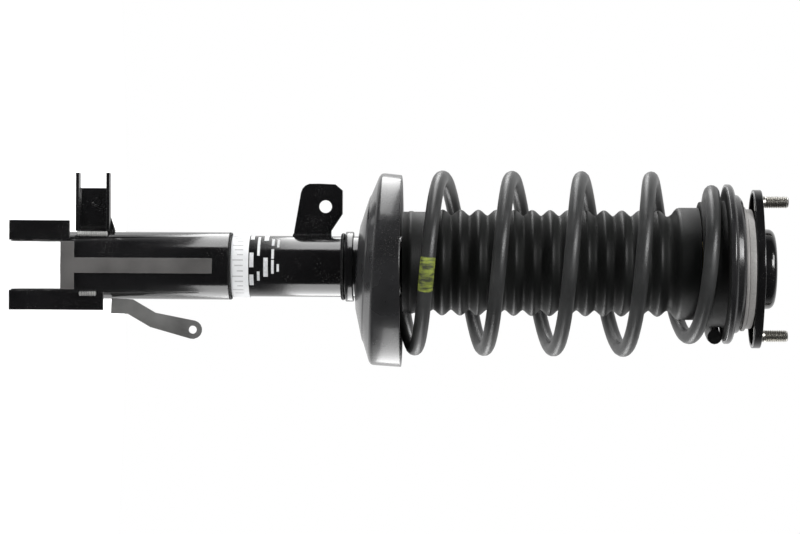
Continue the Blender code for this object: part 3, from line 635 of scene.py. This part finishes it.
def helix_point(turn, sizes):
    """Middle of the wire: a left-hand coil whose ends are drawn in to the two seats."""

    def step(value):
        value = min(max(value, 0.0), 1.0)
        return value * value * (3 - 2 * value)

    lower, upper = step(turn / 0.5), step((turn - 4.0) / 0.5)
    radius = 0.069 + (sizes.coil_radius - 0.069) * lower + (0.0605 - sizes.coil_radius) * upper
    seat_lean = -math.tan(math.radians(3))
    lean = seat_lean + (0.041 - seat_lean) * lower - 0.041 * upper
    angle = math.pi - math.tau * turn
    x = 0.0005 - 0.0040 * lower + radius * math.cos(angle)
    return (x, radius * math.sin(angle), helix_level(turn, sizes) + lean * x)


def wire_along(name, points, radius, roundness=5):
    """A round wire through points, made a mesh."""
    start_clean()
    line = bpy.data.curves.new(name, "CURVE")
    line.dimensions = "3D"
    line.bevel_depth = radius
    line.bevel_resolution = roundness
    line.use_fill_caps = True
    spline = line.splines.new("POLY")
    spline.points.add(len(points) - 1)
    for target, place in zip(spline.points, points):
        target.co = (*place, 1)
    piece = bpy.data.objects.new(name, line)
    bpy.context.scene.collection.objects.link(piece)
    piece.select_set(True)
    bpy.context.view_layer.objects.active = piece
    bpy.ops.object.convert(target="MESH")
    piece = name_piece(name)
    settle()
    return piece


# ---------------------------------------------------------------- pieces


def build_mount_plate(sizes):
    """Two-lobed pressed plate: a bridged ring, its rim turned down, thickened and rounded."""
    steps = 160
    start_clean()
    bpy.ops.mesh.primitive_circle_add(vertices=steps, radius=1.0, fill_type="NOTHING", location=(0, 0, 0))
    piece = name_piece("plate_pressing")
    for point in piece.data.vertices:
        angle = math.atan2(point.co.y, point.co.x)
        reach = 0.046 + 0.0203 * abs(math.cos(angle)) ** 6
        point.co = (reach * math.cos(angle), reach * math.sin(angle), 0)
    edit(piece)
    bpy.ops.mesh.extrude_edges_move(TRANSFORM_OT_translate={"value": (0, 0, -0.0075)})
    bpy.ops.mesh.select_all(action="DESELECT")
    bpy.ops.mesh.primitive_circle_add(vertices=steps, radius=0.0338, fill_type="NOTHING", location=(0, 0, 0))
    bpy.ops.object.mode_set(mode="OBJECT")
    for side in piece.data.edges:
        ends = [piece.data.vertices[i].co for i in side.vertices]
        side.select = all(abs(end.z) < 1e-6 for end in ends)
    bpy.ops.object.mode_set(mode="EDIT")
    bpy.ops.mesh.bridge_edge_loops()
    settle()
    if min(piece.data.polygons, key=lambda face: -face.center.z).normal.z < 0:
        edit(piece)
        bpy.ops.mesh.flip_normals()
        bpy.ops.object.mode_set(mode="OBJECT")
    apply_modifier(piece, "SOLIDIFY", thickness=0.0025, offset=-1.0, use_even_offset=True)
    round_edges(piece, 0.0009, 4)
    return finish_piece(piece, "top_mount", "gloss_paint", "black_paint", "mount_plate")


def build_dome():
    corner = arc_points((28.0, 5.6), 5.4, 90, 0, 10)
    inside = arc_points((28.0, 5.6), 4.0, 0, 90, 6)
    outer = [(0, 10.7), (9, 10.7), (10.4, 11.0)] + corner + [(33.5, 0.9), (33.4, -2.5)]
    inner = [(32.0, -2.5)] + inside + [(0, 9.5)]
    piece = turned("nut_cover", outer + inner, closed=False)
    return finish_piece(piece, "top_mount", "gloss_paint", "black_paint", "mount_dome")


def build_cup():
    points = [(31.5, -3.4), (31.5, -6.2), (43, -6.2), (43, -7.9), (31.5, -7.9), (31.5, -12)]
    points += [(20, -12), (20, -10.5), (30, -10.5), (30, -3.4)]
    piece = turned("isolator_cup", points)
    round_edges(piece, 0.0004, 2)
    finish_piece(piece, "top_mount", "cap_paint", "black_steel", "mount_cup")


def build_studs(sizes):
    """One rolled-thread stud with a collar and a flat head, and its copy."""
    crest = sizes.stud_radius / MM
    root = crest - 0.62
    pitch = sizes.thread_pitch / MM
    points = [(0, 23), (crest - 1.3, 23), (crest - 0.5, 22.2)]
    level = 21.6
    while level > 3.6:
        points += [(root, level), (crest, level - pitch * 0.45), (crest, level - pitch * 0.55)]
        level -= pitch
    points += [(root + 0.2, level), (crest - 0.05, 2.6), (crest - 0.05, -2.8)]
    points += [(7.5, -2.8), (7.5, -4.8), (0, -4.8)]
    first = turned("stud_thread_left", points, closed=False, steps=40)
    edit(first)
    bpy.ops.transform.translate(value=(-0.056, 0, 0))
    bpy.ops.object.mode_set(mode="OBJECT")
    start_clean()
    first.select_set(True)
    bpy.context.view_layer.objects.active = first
    bpy.ops.object.duplicate(linked=False)
    second = name_piece("stud_thread_right")
    edit(second)
    bpy.ops.transform.translate(value=(0.112, 0, 0))
    bpy.ops.object.mode_set(mode="OBJECT")
    finish_piece(first, "top_mount", "zinc", "zinc", "mount_stud_left", angle=30)
    finish_piece(second, "top_mount", "zinc", "zinc", "mount_stud_right", angle=30)


def build_bearing():
    """The two rings of the steering bearing: plastic, with a lipped skirt."""
    upper = [(50, -8.3), (50, -13.6), (47.8, -13.6), (47.8, -10.8), (32, -10.8), (32, -8.3)]
    piece = turned("bearing_cover", upper)
    round_edges(piece, 0.0004, 3)
    finish_piece(piece, "top_mount", "bearing", "bearing_plastic", "bearing_upper_race")
    lower = [(52, -14), (52, -16.5), (32, -16.5), (32, -14)]
    piece = turned("bearing_carrier", lower)
    round_edges(piece, 0.0004, 3)
    finish_piece(piece, "spring_group", "bearing", "bearing_plastic", "bearing_lower_race")


def build_upper_seat():
    points = [(54.5, -16.8), (57.5, -19.5), (58.5, -23.8), (64.8, -24.5), (66.8, -26.5), (66.8, -30.5)]
    points += [(64.3, -30.5), (64.3, -26.8), (56, -26.8), (55, -21), (53, -19.3), (34, -19.3), (34, -16.8)]
    piece = turned("upper_seat_pressing", points, SEAT_SHIFT)
    round_edges(piece, 0.0007, 3, 18)
    finish_piece(piece, "spring_group", "seat_paint", "seat_paint", "upper_spring_seat")
    points = [(64, -27.1), (64, -31), (58, -31.6), (53, -31), (52.6, -40), (52.2, -41), (52.2, -44)]
    points += [(52, -45), (52, -52), (47, -52), (47, -27.1)]
    piece = turned("upper_insulator_rubber", points, SEAT_SHIFT)
    round_edges(piece, 0.0010, 3, 25)
    finish_piece(piece, "spring_group", "rubber", "black_rubber", "upper_insulator")


def build_boot(sizes):
    """Bellows: a folded line turned round the rod, then thickened inwards."""
    ridge, valley = sizes.boot_ridge_radius / MM, sizes.boot_valley_radius / MM
    count = sizes.boot_ridges
    pitch = 15.0
    first = -266.0
    top = first + (count - 0.5) * pitch
    bottom = first - 0.5 * pitch

    def fold(level):
        phase = (level - first) / pitch
        return valley + (ridge - valley) * (0.5 + 0.5 * math.cos(math.tau * phase)) ** 0.75

    points = [(47, -52.5), (47, -68), (46.4, -70.4), (44.6, -72.2), (41.5, -74.4), (valley + 0.4, -76.6)]
    points += wave_line(top, bottom, count * 10, fold)
    points += [(valley + 0.5, -274.4), (42, -277.6), (42.5, -279.5), (42.5, -290)]
    points += [(43.1, -291), (43.1, -293.5), (42.5, -294.5), (42.5, -299)]
    piece = turned("bellows", points, SEAT_SHIFT, closed=False)
    apply_modifier(piece, "SOLIDIFY", thickness=sizes.boot_wall, offset=-1.0, use_even_offset=True)
    finish_piece(piece, "spring_group", "boot", "black_rubber", "dust_boot", angle=60)
    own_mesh(piece)


def build_coil(sizes):
    """The wire of the spring, and the daub of paint that marks it."""
    first, last, per_turn = -0.55, 5.5, 48
    count = round((last - first) * per_turn)
    points = [helix_point(first + (last - first) * i / count, sizes) for i in range(count + 1)]
    piece = wire_along("coil_wire", points, sizes.wire_radius)
    finish_piece(piece, "spring_group", "spring_paint", "spring_paint", "coil_spring", angle=50)
    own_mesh(piece)
    points = [helix_point(0.700 + 0.060 * i / 12, sizes) for i in range(13)]
    piece = wire_along("coil_mark", points, sizes.wire_radius + 0.00012)
    finish_piece(piece, "spring_group", "mark", "spring_paint", angle=50)
    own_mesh(piece)


def ring_path(radius, level, start, end, spacing):
    """Places round the tube from one angle to another, in degrees."""
    count = max(2, round(math.radians(abs(end - start)) * radius / spacing))
    angles = [math.radians(start + (end - start) * i / count) for i in range(count + 1)]
    return [(radius * math.cos(a), radius * math.sin(a), level) for a in angles]


def line_path(start, end, spacing):
    start, end = Vector(start), Vector(end)
    count = max(2, round((end - start).length / spacing))
    return [tuple(start.lerp(end, i / count)) for i in range(count + 1)]


def build_tube():
    tube = TUBE_RADIUS / MM
    top = TUBE_TOP / MM
    bottom = TUBE_BOTTOM / MM
    points = [(tube, top), (tube, bottom), (tube - 2, bottom), (tube - 2, top)]
    piece = turned("damper_tube", points)
    round_edges(piece, 0.0005, 2)
    finish_piece(piece, "damper", "gloss_paint", "black_paint", "outer_tube")
    points = [(0, -564.5), (23.2, -564.5), (23.2, -566.5), (22.3, -569.4)]
    points += [(20, -571.6), (15, -573.7), (8, -574.7), (0, -575)]
    piece = turned("tube_base", points, closed=False)
    finish_piece(piece, "damper", "gloss_paint", "black_paint", "base_cap", angle=50)
    points = [(27.5, -239.5), (27.5, -250), (27, -251), (27, -252), (27.5, -253), (27.5, -255)]
    points += [(25.8, -255), (25.8, -241.7), (12.5, -241.7), (12.5, -239.5)]
    piece = turned("tube_end_cap", points)
    round_edges(piece, 0.0006, 3)
    finish_piece(piece, "damper", "cap_paint", "black_steel", "tube_cap")
    points = [(29.4, -340), (29.4, -347), (25.8, -347), (25.8, -340)]
    piece = turned("seat_ring", points)
    round_edges(piece, 0.0010, 3)
    finish_piece(piece, "damper", "gloss_paint", "black_paint", "seat_collar")
    weld_bead("weld_under_seat", ring_path(0.0264, -0.3490, 0, 360, 0.0016), 0.0018, "damper")


def set_on_seat(piece):
    """Tilt an upright ring and bring it to the lower seat's place."""
    edit(piece)
    bpy.ops.transform.rotate(value=SEAT_LEAN, orient_axis="Y", center_override=(0, 0, 0))
    bpy.ops.transform.translate(value=SEAT_PLACE)
    bpy.ops.object.mode_set(mode="OBJECT")


def build_lower_seat(sizes):
    """Conical pan: turned upright, tilted three degrees, and its rim brought level."""
    rim = sizes.seat_radius / MM
    points = [(rim, 30), (rim, 1.5), (rim - 0.5, -0.6), (rim - 2.6, -2.4), (62, -8.2), (60.4, -9.4)]
    points += [(50, -12.2), (36, -16), (27.8, -17), (27.8, -14.5), (36.5, -13.7)]
    points += [(50, -9.9), (61, -6.9), (62.5, -5.7)]
    points += [(rim - 4.3, -0.4), (rim - 2.5, 1.5), (rim - 2.5, 30)]
    piece = turned("lower_seat_pan", points, steps=128)
    set_on_seat(piece)
    lowest = min(piece.data.vertices, key=lambda point: point.co.z)
    if lowest.co.x < 0:
        raise RuntimeError("the lower seat leans the wrong way")
    for point in piece.data.vertices:
        if point.co.z > -0.305:
            point.co.z = -0.300
    round_edges(piece, 0.0008, 3, 14)
    finish_piece(piece, "damper", "seat_paint", "seat_paint", "lower_spring_seat", angle=50)


def build_lower_insulator():
    points = [(73, 0), (73, -0.8), (62, -4.5), (62, 0)]
    piece = turned("lower_insulator_rubber", points)
    set_on_seat(piece)
    round_edges(piece, 0.0004, 2)
    finish_piece(piece, "damper", "rubber", "black_rubber", "lower_insulator")


def build_knuckle(sizes):
    """The pressed bracket, its back plate, and the welds that hold them to the tube."""
    piece = from_node("knuckle_bracket", "knuckle_pressing")
    pick_faces(piece, lambda face: face.normal.y < -0.99 and abs(face.center.y + 0.0170) < 0.0003)
    bpy.ops.mesh.inset(thickness=0.0036, depth=-0.0014)
    bpy.ops.mesh.select_mode(type="VERT")
    bpy.ops.object.mode_set(mode="OBJECT")
    round_edges(piece, sizes.sheet_round, 3, 40)
    finish_piece(piece, "damper", "gloss_paint", "black_paint", "knuckle_bracket", angle=35)
    piece.data.materials.append(FINISHES["flat_paint"])
    # Faces towards the camera take the lighter grey: a painted reflection.
    for face in piece.data.polygons:
        if face.center.y < -0.0298 and face.normal.y < -0.5:
            face.material_index = 1
    piece = from_node("bracket_back_plate", "back_plate_sheet")
    round_edges(piece, sizes.sheet_round, 3)
    finish_piece(piece, "damper", "gloss_paint", "black_paint", "bracket_back_plate")
    weld_bead("weld_wrap_top", ring_path(0.0268, -0.4433, -170, -10, 0.0018), 0.0019, "damper")
    # The two flange welds take the bright colour: real beads with a painted highlight.
    left = line_path((-0.0262, -0.0148, -0.5700), (-0.0262, -0.0148, -0.5470), 0.0019)
    weld_bead("weld_flange_left", left, 0.0023, "damper", "weld_painted_highlight")
    right = line_path((0.0236, -0.0174, -0.5680), (0.0236, -0.0174, -0.5560), 0.0019)
    weld_bead("weld_flange_right", right, 0.0022, "damper", "weld_painted_highlight")


def build_hose_bracket(sizes):
    piece = from_node("hose_bracket", "hose_fork")
    round_edges(piece, sizes.sheet_round, 3, 40)
    finish_piece(piece, "damper", "gloss_paint", "black_paint", "hose_bracket", angle=35)
    path = line_path((-0.0288, -0.0020, -0.5720), (-0.0288, -0.0020, -0.5420), 0.0018)
    weld_bead("weld_hose_fork", path, 0.0016, "damper")
    start_clean()
    bpy.ops.mesh.primitive_cylinder_add(
        vertices=32,
        radius=0.0040,
        depth=0.0012,
        location=(-0.0530, -0.0018, -0.5575),
        rotation=(math.pi / 2, 0, 0),
    )
    dimple = name_piece("fork_dimple")
    bpy.ops.object.transform_apply(location=True, rotation=True, scale=True)
    pick_faces(dimple, lambda face: face.normal.y < -0.9)
    bpy.ops.mesh.inset(thickness=0.0012, depth=0.0)
    bpy.ops.mesh.inset(thickness=0.0006, depth=-0.0010)
    bpy.ops.mesh.select_mode(type="VERT")
    settle()
    round_edges(dimple, 0.0003, 2)
    finish_piece(dimple, "damper", "gloss_paint", "black_paint")


def build_link_bracket(sizes):
    piece = from_node("link_bracket", "link_plate")
    round_edges(piece, sizes.sheet_round * 1.3, 3, 40)
    finish_piece(piece, "damper", "gloss_paint", "black_paint", "link_bracket", angle=35)
    path = line_path((-0.0258, -0.0026, -0.3905), (-0.0258, -0.0026, -0.3600), 0.0018)
    weld_bead("weld_link_plate", path, 0.0018, "damper")


def build_strap():
    piece = from_node("sensor_strap", "strap_strip")
    round_edges(piece, 0.0005, 3, 40)
    finish_piece(piece, "damper", "strap", "strap_steel", "sensor_strap", angle=35)


def wrapped_patch(name, radius, low, high, start, end, thickness=0.00012):
    """A thin patch lying round the tube between two heights and two angles in degrees."""
    first = math.radians(start)
    place = (radius * math.cos(first), radius * math.sin(first), low)
    start_clean()
    bpy.ops.mesh.primitive_plane_add(size=0.002, location=place)
    piece = name_piece(name)
    bpy.ops.object.mode_set(mode="EDIT")
    bpy.ops.mesh.select_all(action="SELECT")
    bpy.ops.mesh.merge(type="CENTER")
    bpy.ops.mesh.extrude_region_move(TRANSFORM_OT_translate={"value": (0, 0, high - low)})
    bpy.ops.mesh.select_all(action="SELECT")
    steps = max(2, round(abs(end - start) / 3))
    bpy.ops.mesh.spin(steps=steps, angle=math.radians(end - start), center=(0, 0, 0), axis=(0, 0, 1))
    settle()
    face = piece.data.polygons[0]
    if face.normal.dot(Vector((face.center.x, face.center.y, 0))) < 0:
        edit(piece)
        bpy.ops.mesh.flip_normals()
        bpy.ops.object.mode_set(mode="OBJECT")
    apply_modifier(piece, "SOLIDIFY", thickness=thickness, offset=-1.0)
    return piece


def join_patches(name, patches):
    start_clean()
    for patch in patches:
        patch.select_set(True)
    bpy.context.view_layer.objects.active = patches[0]
    bpy.ops.object.join()
    return name_piece(name)


def build_label():
    """A white band with plain grey ticks, and plain printed bars beside it."""
    points = [(26.2, -427), (26.2, -443.5), (25.8, -443.5), (25.8, -427)]
    piece = turned("label_film", points)
    finish_piece(piece, "damper", "label", "label_white", "label_band")
    ticks = []
    for i in range(14):
        angle = -160 + i * 10.0
        short = i % 3
        ticks.append(wrapped_patch("tick", 0.02627, -0.4405 + 0.002 * short, -0.4315, angle, angle + 2.2))
    finish_piece(join_patches("label_ticks", ticks), "damper", "tick", "label_white")
    bars = []
    rows = (
        (-0.4262, -0.4228),
        (-0.4198, -0.4176),
        (-0.4145, -0.4108),
        (-0.4080, -0.4058),
        (-0.4035, -0.4015),
    )
    spans = (
        ((-150, -96), (-88, -60), (-52, -30)),
        ((-140, -118), (-110, -70), (-62, -44)),
        ((-146, -104), (-92, -78), (-70, -36)),
        ((-132, -112), (-104, -84), (-76, -50)),
        ((-128, -106), (-80, -66)),
    )
    for (low, high), row in zip(rows, spans):
        for start, end in row:
            bars.append(wrapped_patch("bar", TUBE_RADIUS + 0.00014, low, high, start, end))
    finish_piece(join_patches("print_bars", bars), "damper", "print", "label_white")


INNER_FINISHES = {
    "mount_rubber": "rubber",
    "inner_sleeve": "steel",
    "rod_washer": "zinc",
    "rod_nut": "zinc",
    "piston_rod": "chrome",
    "rebound_washer": "steel",
    "rebound_stop": "rubber",
    "piston": "steel",
    "piston_band": "ptfe",
    "piston_nut": "steel",
    "bump_stop": "urethane",
    "bump_stop_cup": "cap_paint",
    "ball_cage": "steel",
    "inner_cylinder": "steel",
    "base_valve": "steel",
    "rod_guide": "steel",
    "rod_seal": "rubber",
}


def finish_inner_nodes():
    """Gives each inner piece, which keeps its CAD mesh, a finish of its own kind."""
    for name, finish in INNER_FINISHES.items():
        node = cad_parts[name]
        node.data.materials.clear()
        node.data.materials.append(FINISHES[finish])


# ---------------------------------------------------------------- stage


def aim(thing, place, target):
    direction = Vector(target) - Vector(place)
    thing.location = place
    thing.rotation_euler = direction.to_track_quat("-Z", "Y").to_euler()


def add_softbox(name, place, target, size, power):
    bpy.ops.object.light_add(type="AREA", location=place)
    lamp = bpy.context.active_object
    lamp.name = name
    lamp.data.shape = "RECTANGLE"
    lamp.data.size, lamp.data.size_y = size
    lamp.data.energy = power
    lamp.visible_camera = False
    aim(lamp, place, target)
    return lamp


def build_world():
    """White backdrop to the eye, and a dim even room in the reflections."""
    world = bpy.data.worlds.new("studio room")
    bpy.context.scene.world = world
    world.use_nodes = True
    tree = world.node_tree
    backdrop = tree.nodes["Background"]
    backdrop.inputs["Color"].default_value = (1, 1, 1, 1)
    room = tree.nodes.new("ShaderNodeBackground")
    direction = tree.nodes.new("ShaderNodeTexCoord")
    parts = tree.nodes.new("ShaderNodeSeparateXYZ")
    tree.links.new(direction.outputs["Generated"], parts.inputs[0])
    behind = new_range(tree, parts.outputs["Y"], 0.0, 0.55, 0.0, 1.0)
    tree.links.new(new_mix(tree, behind, (0.035, 0.035, 0.036), (0.85, 0.85, 0.85)), room.inputs["Color"])
    seen = tree.nodes.new("ShaderNodeLightPath")
    mix = tree.nodes.new("ShaderNodeMixShader")
    tree.links.new(seen.outputs["Is Camera Ray"], mix.inputs[0])
    tree.links.new(room.outputs[0], mix.inputs[1])
    tree.links.new(backdrop.outputs[0], mix.inputs[2])
    tree.links.new(mix.outputs[0], tree.nodes["World Output"].inputs["Surface"])


def build_floor(colours):
    start_clean()
    bpy.ops.mesh.primitive_circle_add(vertices=96, radius=0.75, fill_type="NGON", location=(0, 0, FLOOR_LEVEL))
    floor = name_piece("floor")
    material, tree, shader, position = new_finish("pale floor", Roughness=0.6, Emission_Strength=0.95)
    shader.inputs["Emission Color"].default_value = (1, 1, 1, 1)
    pale = tuple(colours.floor)
    tone = new_mix(tree, new_noise(tree, position, 6.0), shade(pale, 0.98), pale)
    tree.links.new(tone, shader.inputs["Base Color"])
    floor.data.materials.append(material)
    floor.visible_glossy = False


def build_camera():
    """Level with the damper axis, which runs across the view with the mount at the right."""
    bpy.ops.object.camera_add()
    camera = bpy.context.active_object
    camera.name = "studio_camera"
    camera.data.lens = 118
    camera.data.sensor_width = 36
    camera.data.clip_start = 0.05
    place = Vector(CAMERA_PLACE)
    target = Vector(CAMERA_TARGET)
    back = (place - target).normalized()
    right = Vector((0, 0, 1))
    right = (right - back * right.dot(back)).normalized()
    up = back.cross(right)
    turn = Matrix((right, up, back)).transposed().to_4x4()
    camera.matrix_world = Matrix.Translation(place) @ turn @ Matrix.Rotation(CAMERA_ROLL, 4, "Z")
    bpy.context.scene.camera = camera
    bpy.context.scene.view_settings.view_transform = "Standard"


def build_lights():
    middle = (0, 0, -0.30)
    add_softbox("soft_box_left", (-0.95, 0.25, -0.30), middle, (1.5, 0.35), 9)
    add_softbox("soft_box_right", (0.95, 0.30, -0.30), middle, (1.5, 0.30), 6)
    add_softbox("soft_box_top", (-0.35, -0.60, 0.65), middle, (0.5, 0.5), 6)
    add_softbox("soft_box_front", (-0.45, -1.30, 0.75), middle, (0.5, 0.5), 9)


# ---------------------------------------------------------------- operators


class STRUT_OT_finishes(bpy.types.Operator):
    """Make the shared shader groups and every finish"""

    bl_idname = "strut.finishes"
    bl_label = "Finishes"

    def execute(self, context):
        build_finishes(context.scene.strut_finishes, context.scene.strut_sizes)
        return {"FINISHED"}


class STRUT_OT_stage(bpy.types.Operator):
    """Set up the floor, the soft lights, the white room and the camera"""

    bl_idname = "strut.stage"
    bl_label = "Stage"

    def execute(self, context):
        build_world()
        build_floor(context.scene.strut_finishes)
        build_lights()
        build_camera()
        return {"FINISHED"}


class STRUT_OT_top_mount(bpy.types.Operator):
    """Model the mount plate, the cover over the nut, and the isolator cup"""

    bl_idname = "strut.top_mount"
    bl_label = "Top mount"

    def execute(self, context):
        build_mount_plate(context.scene.strut_sizes)
        build_dome()
        build_cup()
        return {"FINISHED"}


class STRUT_OT_studs(bpy.types.Operator):
    """Model one threaded mounting stud and copy it to the other side"""

    bl_idname = "strut.studs"
    bl_label = "Mounting studs"

    def execute(self, context):
        build_studs(context.scene.strut_sizes)
        return {"FINISHED"}


class STRUT_OT_bearing(bpy.types.Operator):
    """Model the two rings of the steering bearing"""

    bl_idname = "strut.bearing"
    bl_label = "Steering bearing"

    def execute(self, context):
        build_bearing()
        return {"FINISHED"}


class STRUT_OT_upper_seat(bpy.types.Operator):
    """Model the upper spring seat and its rubber insulator"""

    bl_idname = "strut.upper_seat"
    bl_label = "Upper spring seat"

    def execute(self, context):
        build_upper_seat()
        return {"FINISHED"}


class STRUT_OT_boot(bpy.types.Operator):
    """Model the rubber bellows over the rod"""

    bl_idname = "strut.boot"
    bl_label = "Dust boot"

    def execute(self, context):
        build_boot(context.scene.strut_sizes)
        return {"FINISHED"}


class STRUT_OT_coil(bpy.types.Operator):
    """Model the coil spring and its paint mark"""

    bl_idname = "strut.coil"
    bl_label = "Coil spring"

    def execute(self, context):
        build_coil(context.scene.strut_sizes)
        return {"FINISHED"}


class STRUT_OT_tube(bpy.types.Operator):
    """Model the damper tube with its base, end cap, seat ring and weld"""

    bl_idname = "strut.tube"
    bl_label = "Damper tube"

    def execute(self, context):
        build_tube()
        return {"FINISHED"}


class STRUT_OT_lower_seat(bpy.types.Operator):
    """Model the lower spring seat and its pad"""

    bl_idname = "strut.lower_seat"
    bl_label = "Lower spring seat"

    def execute(self, context):
        build_lower_seat(context.scene.strut_sizes)
        build_lower_insulator()
        return {"FINISHED"}


class STRUT_OT_knuckle(bpy.types.Operator):
    """Model the knuckle bracket, its back plate and their welds"""

    bl_idname = "strut.knuckle"
    bl_label = "Knuckle bracket"

    def execute(self, context):
        build_knuckle(context.scene.strut_sizes)
        return {"FINISHED"}


class STRUT_OT_small_brackets(bpy.types.Operator):
    """Model the hose fork, the link plate and the sensor strap"""

    bl_idname = "strut.small_brackets"
    bl_label = "Small brackets"

    def execute(self, context):
        sizes = context.scene.strut_sizes
        build_hose_bracket(sizes)
        build_link_bracket(sizes)
        build_strap()
        return {"FINISHED"}


class STRUT_OT_label(bpy.types.Operator):
    """Model the plain label band and the plain printed bars"""

    bl_idname = "strut.label"
    bl_label = "Label"

    def execute(self, context):
        build_label()
        return {"FINISHED"}


class STRUT_OT_inner_pieces(bpy.types.Operator):
    """Give the rod, piston, valve and other inner pieces their finishes"""

    bl_idname = "strut.inner_pieces"
    bl_label = "Inner pieces"

    def execute(self, context):
        finish_inner_nodes()
        return {"FINISHED"}


STEPS = (
    STRUT_OT_finishes,
    STRUT_OT_stage,
    STRUT_OT_top_mount,
    STRUT_OT_studs,
    STRUT_OT_bearing,
    STRUT_OT_upper_seat,
    STRUT_OT_boot,
    STRUT_OT_coil,
    STRUT_OT_tube,
    STRUT_OT_lower_seat,
    STRUT_OT_knuckle,
    STRUT_OT_small_brackets,
    STRUT_OT_label,
    STRUT_OT_inner_pieces,
)


class STRUT_PT_panel(bpy.types.Panel):
    """Lists the steps in the order they are run"""

    bl_idname = "STRUT_PT_panel"
    bl_label = "Coil-over strut"
    bl_space_type = "VIEW_3D"
    bl_region_type = "UI"
    bl_category = "Strut"

    def draw(self, context):
        column = self.layout.column(align=True)
        for step in STEPS:
            column.operator(step.bl_idname)
        for group in (context.scene.strut_sizes, context.scene.strut_finishes):
            box = self.layout.box()
            for name in group.__annotations__:
                box.prop(group, name)


CLASSES = (StrutSizes, StrutFinishes, *STEPS, STRUT_PT_panel)


def register():
    for cls in CLASSES:
        bpy.utils.register_class(cls)
    bpy.types.Scene.strut_sizes = PointerProperty(type=StrutSizes)
    bpy.types.Scene.strut_finishes = PointerProperty(type=StrutFinishes)


def unregister():
    del bpy.types.Scene.strut_finishes
    del bpy.types.Scene.strut_sizes
    for cls in reversed(CLASSES):
        bpy.utils.unregister_class(cls)


def write_sizes():
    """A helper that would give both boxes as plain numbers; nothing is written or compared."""

    def plain(box):
        return [[float(number) for number in corner] for corner in box]


def main():
    register()
    for step in STEPS:
        group, name = step.bl_idname.split(".")
        if getattr(getattr(bpy.ops, group), name)() != {"FINISHED"}:
            raise RuntimeError(step.bl_label + " could not finish")
    write_sizes()


if __name__ == "__main__":
    main()
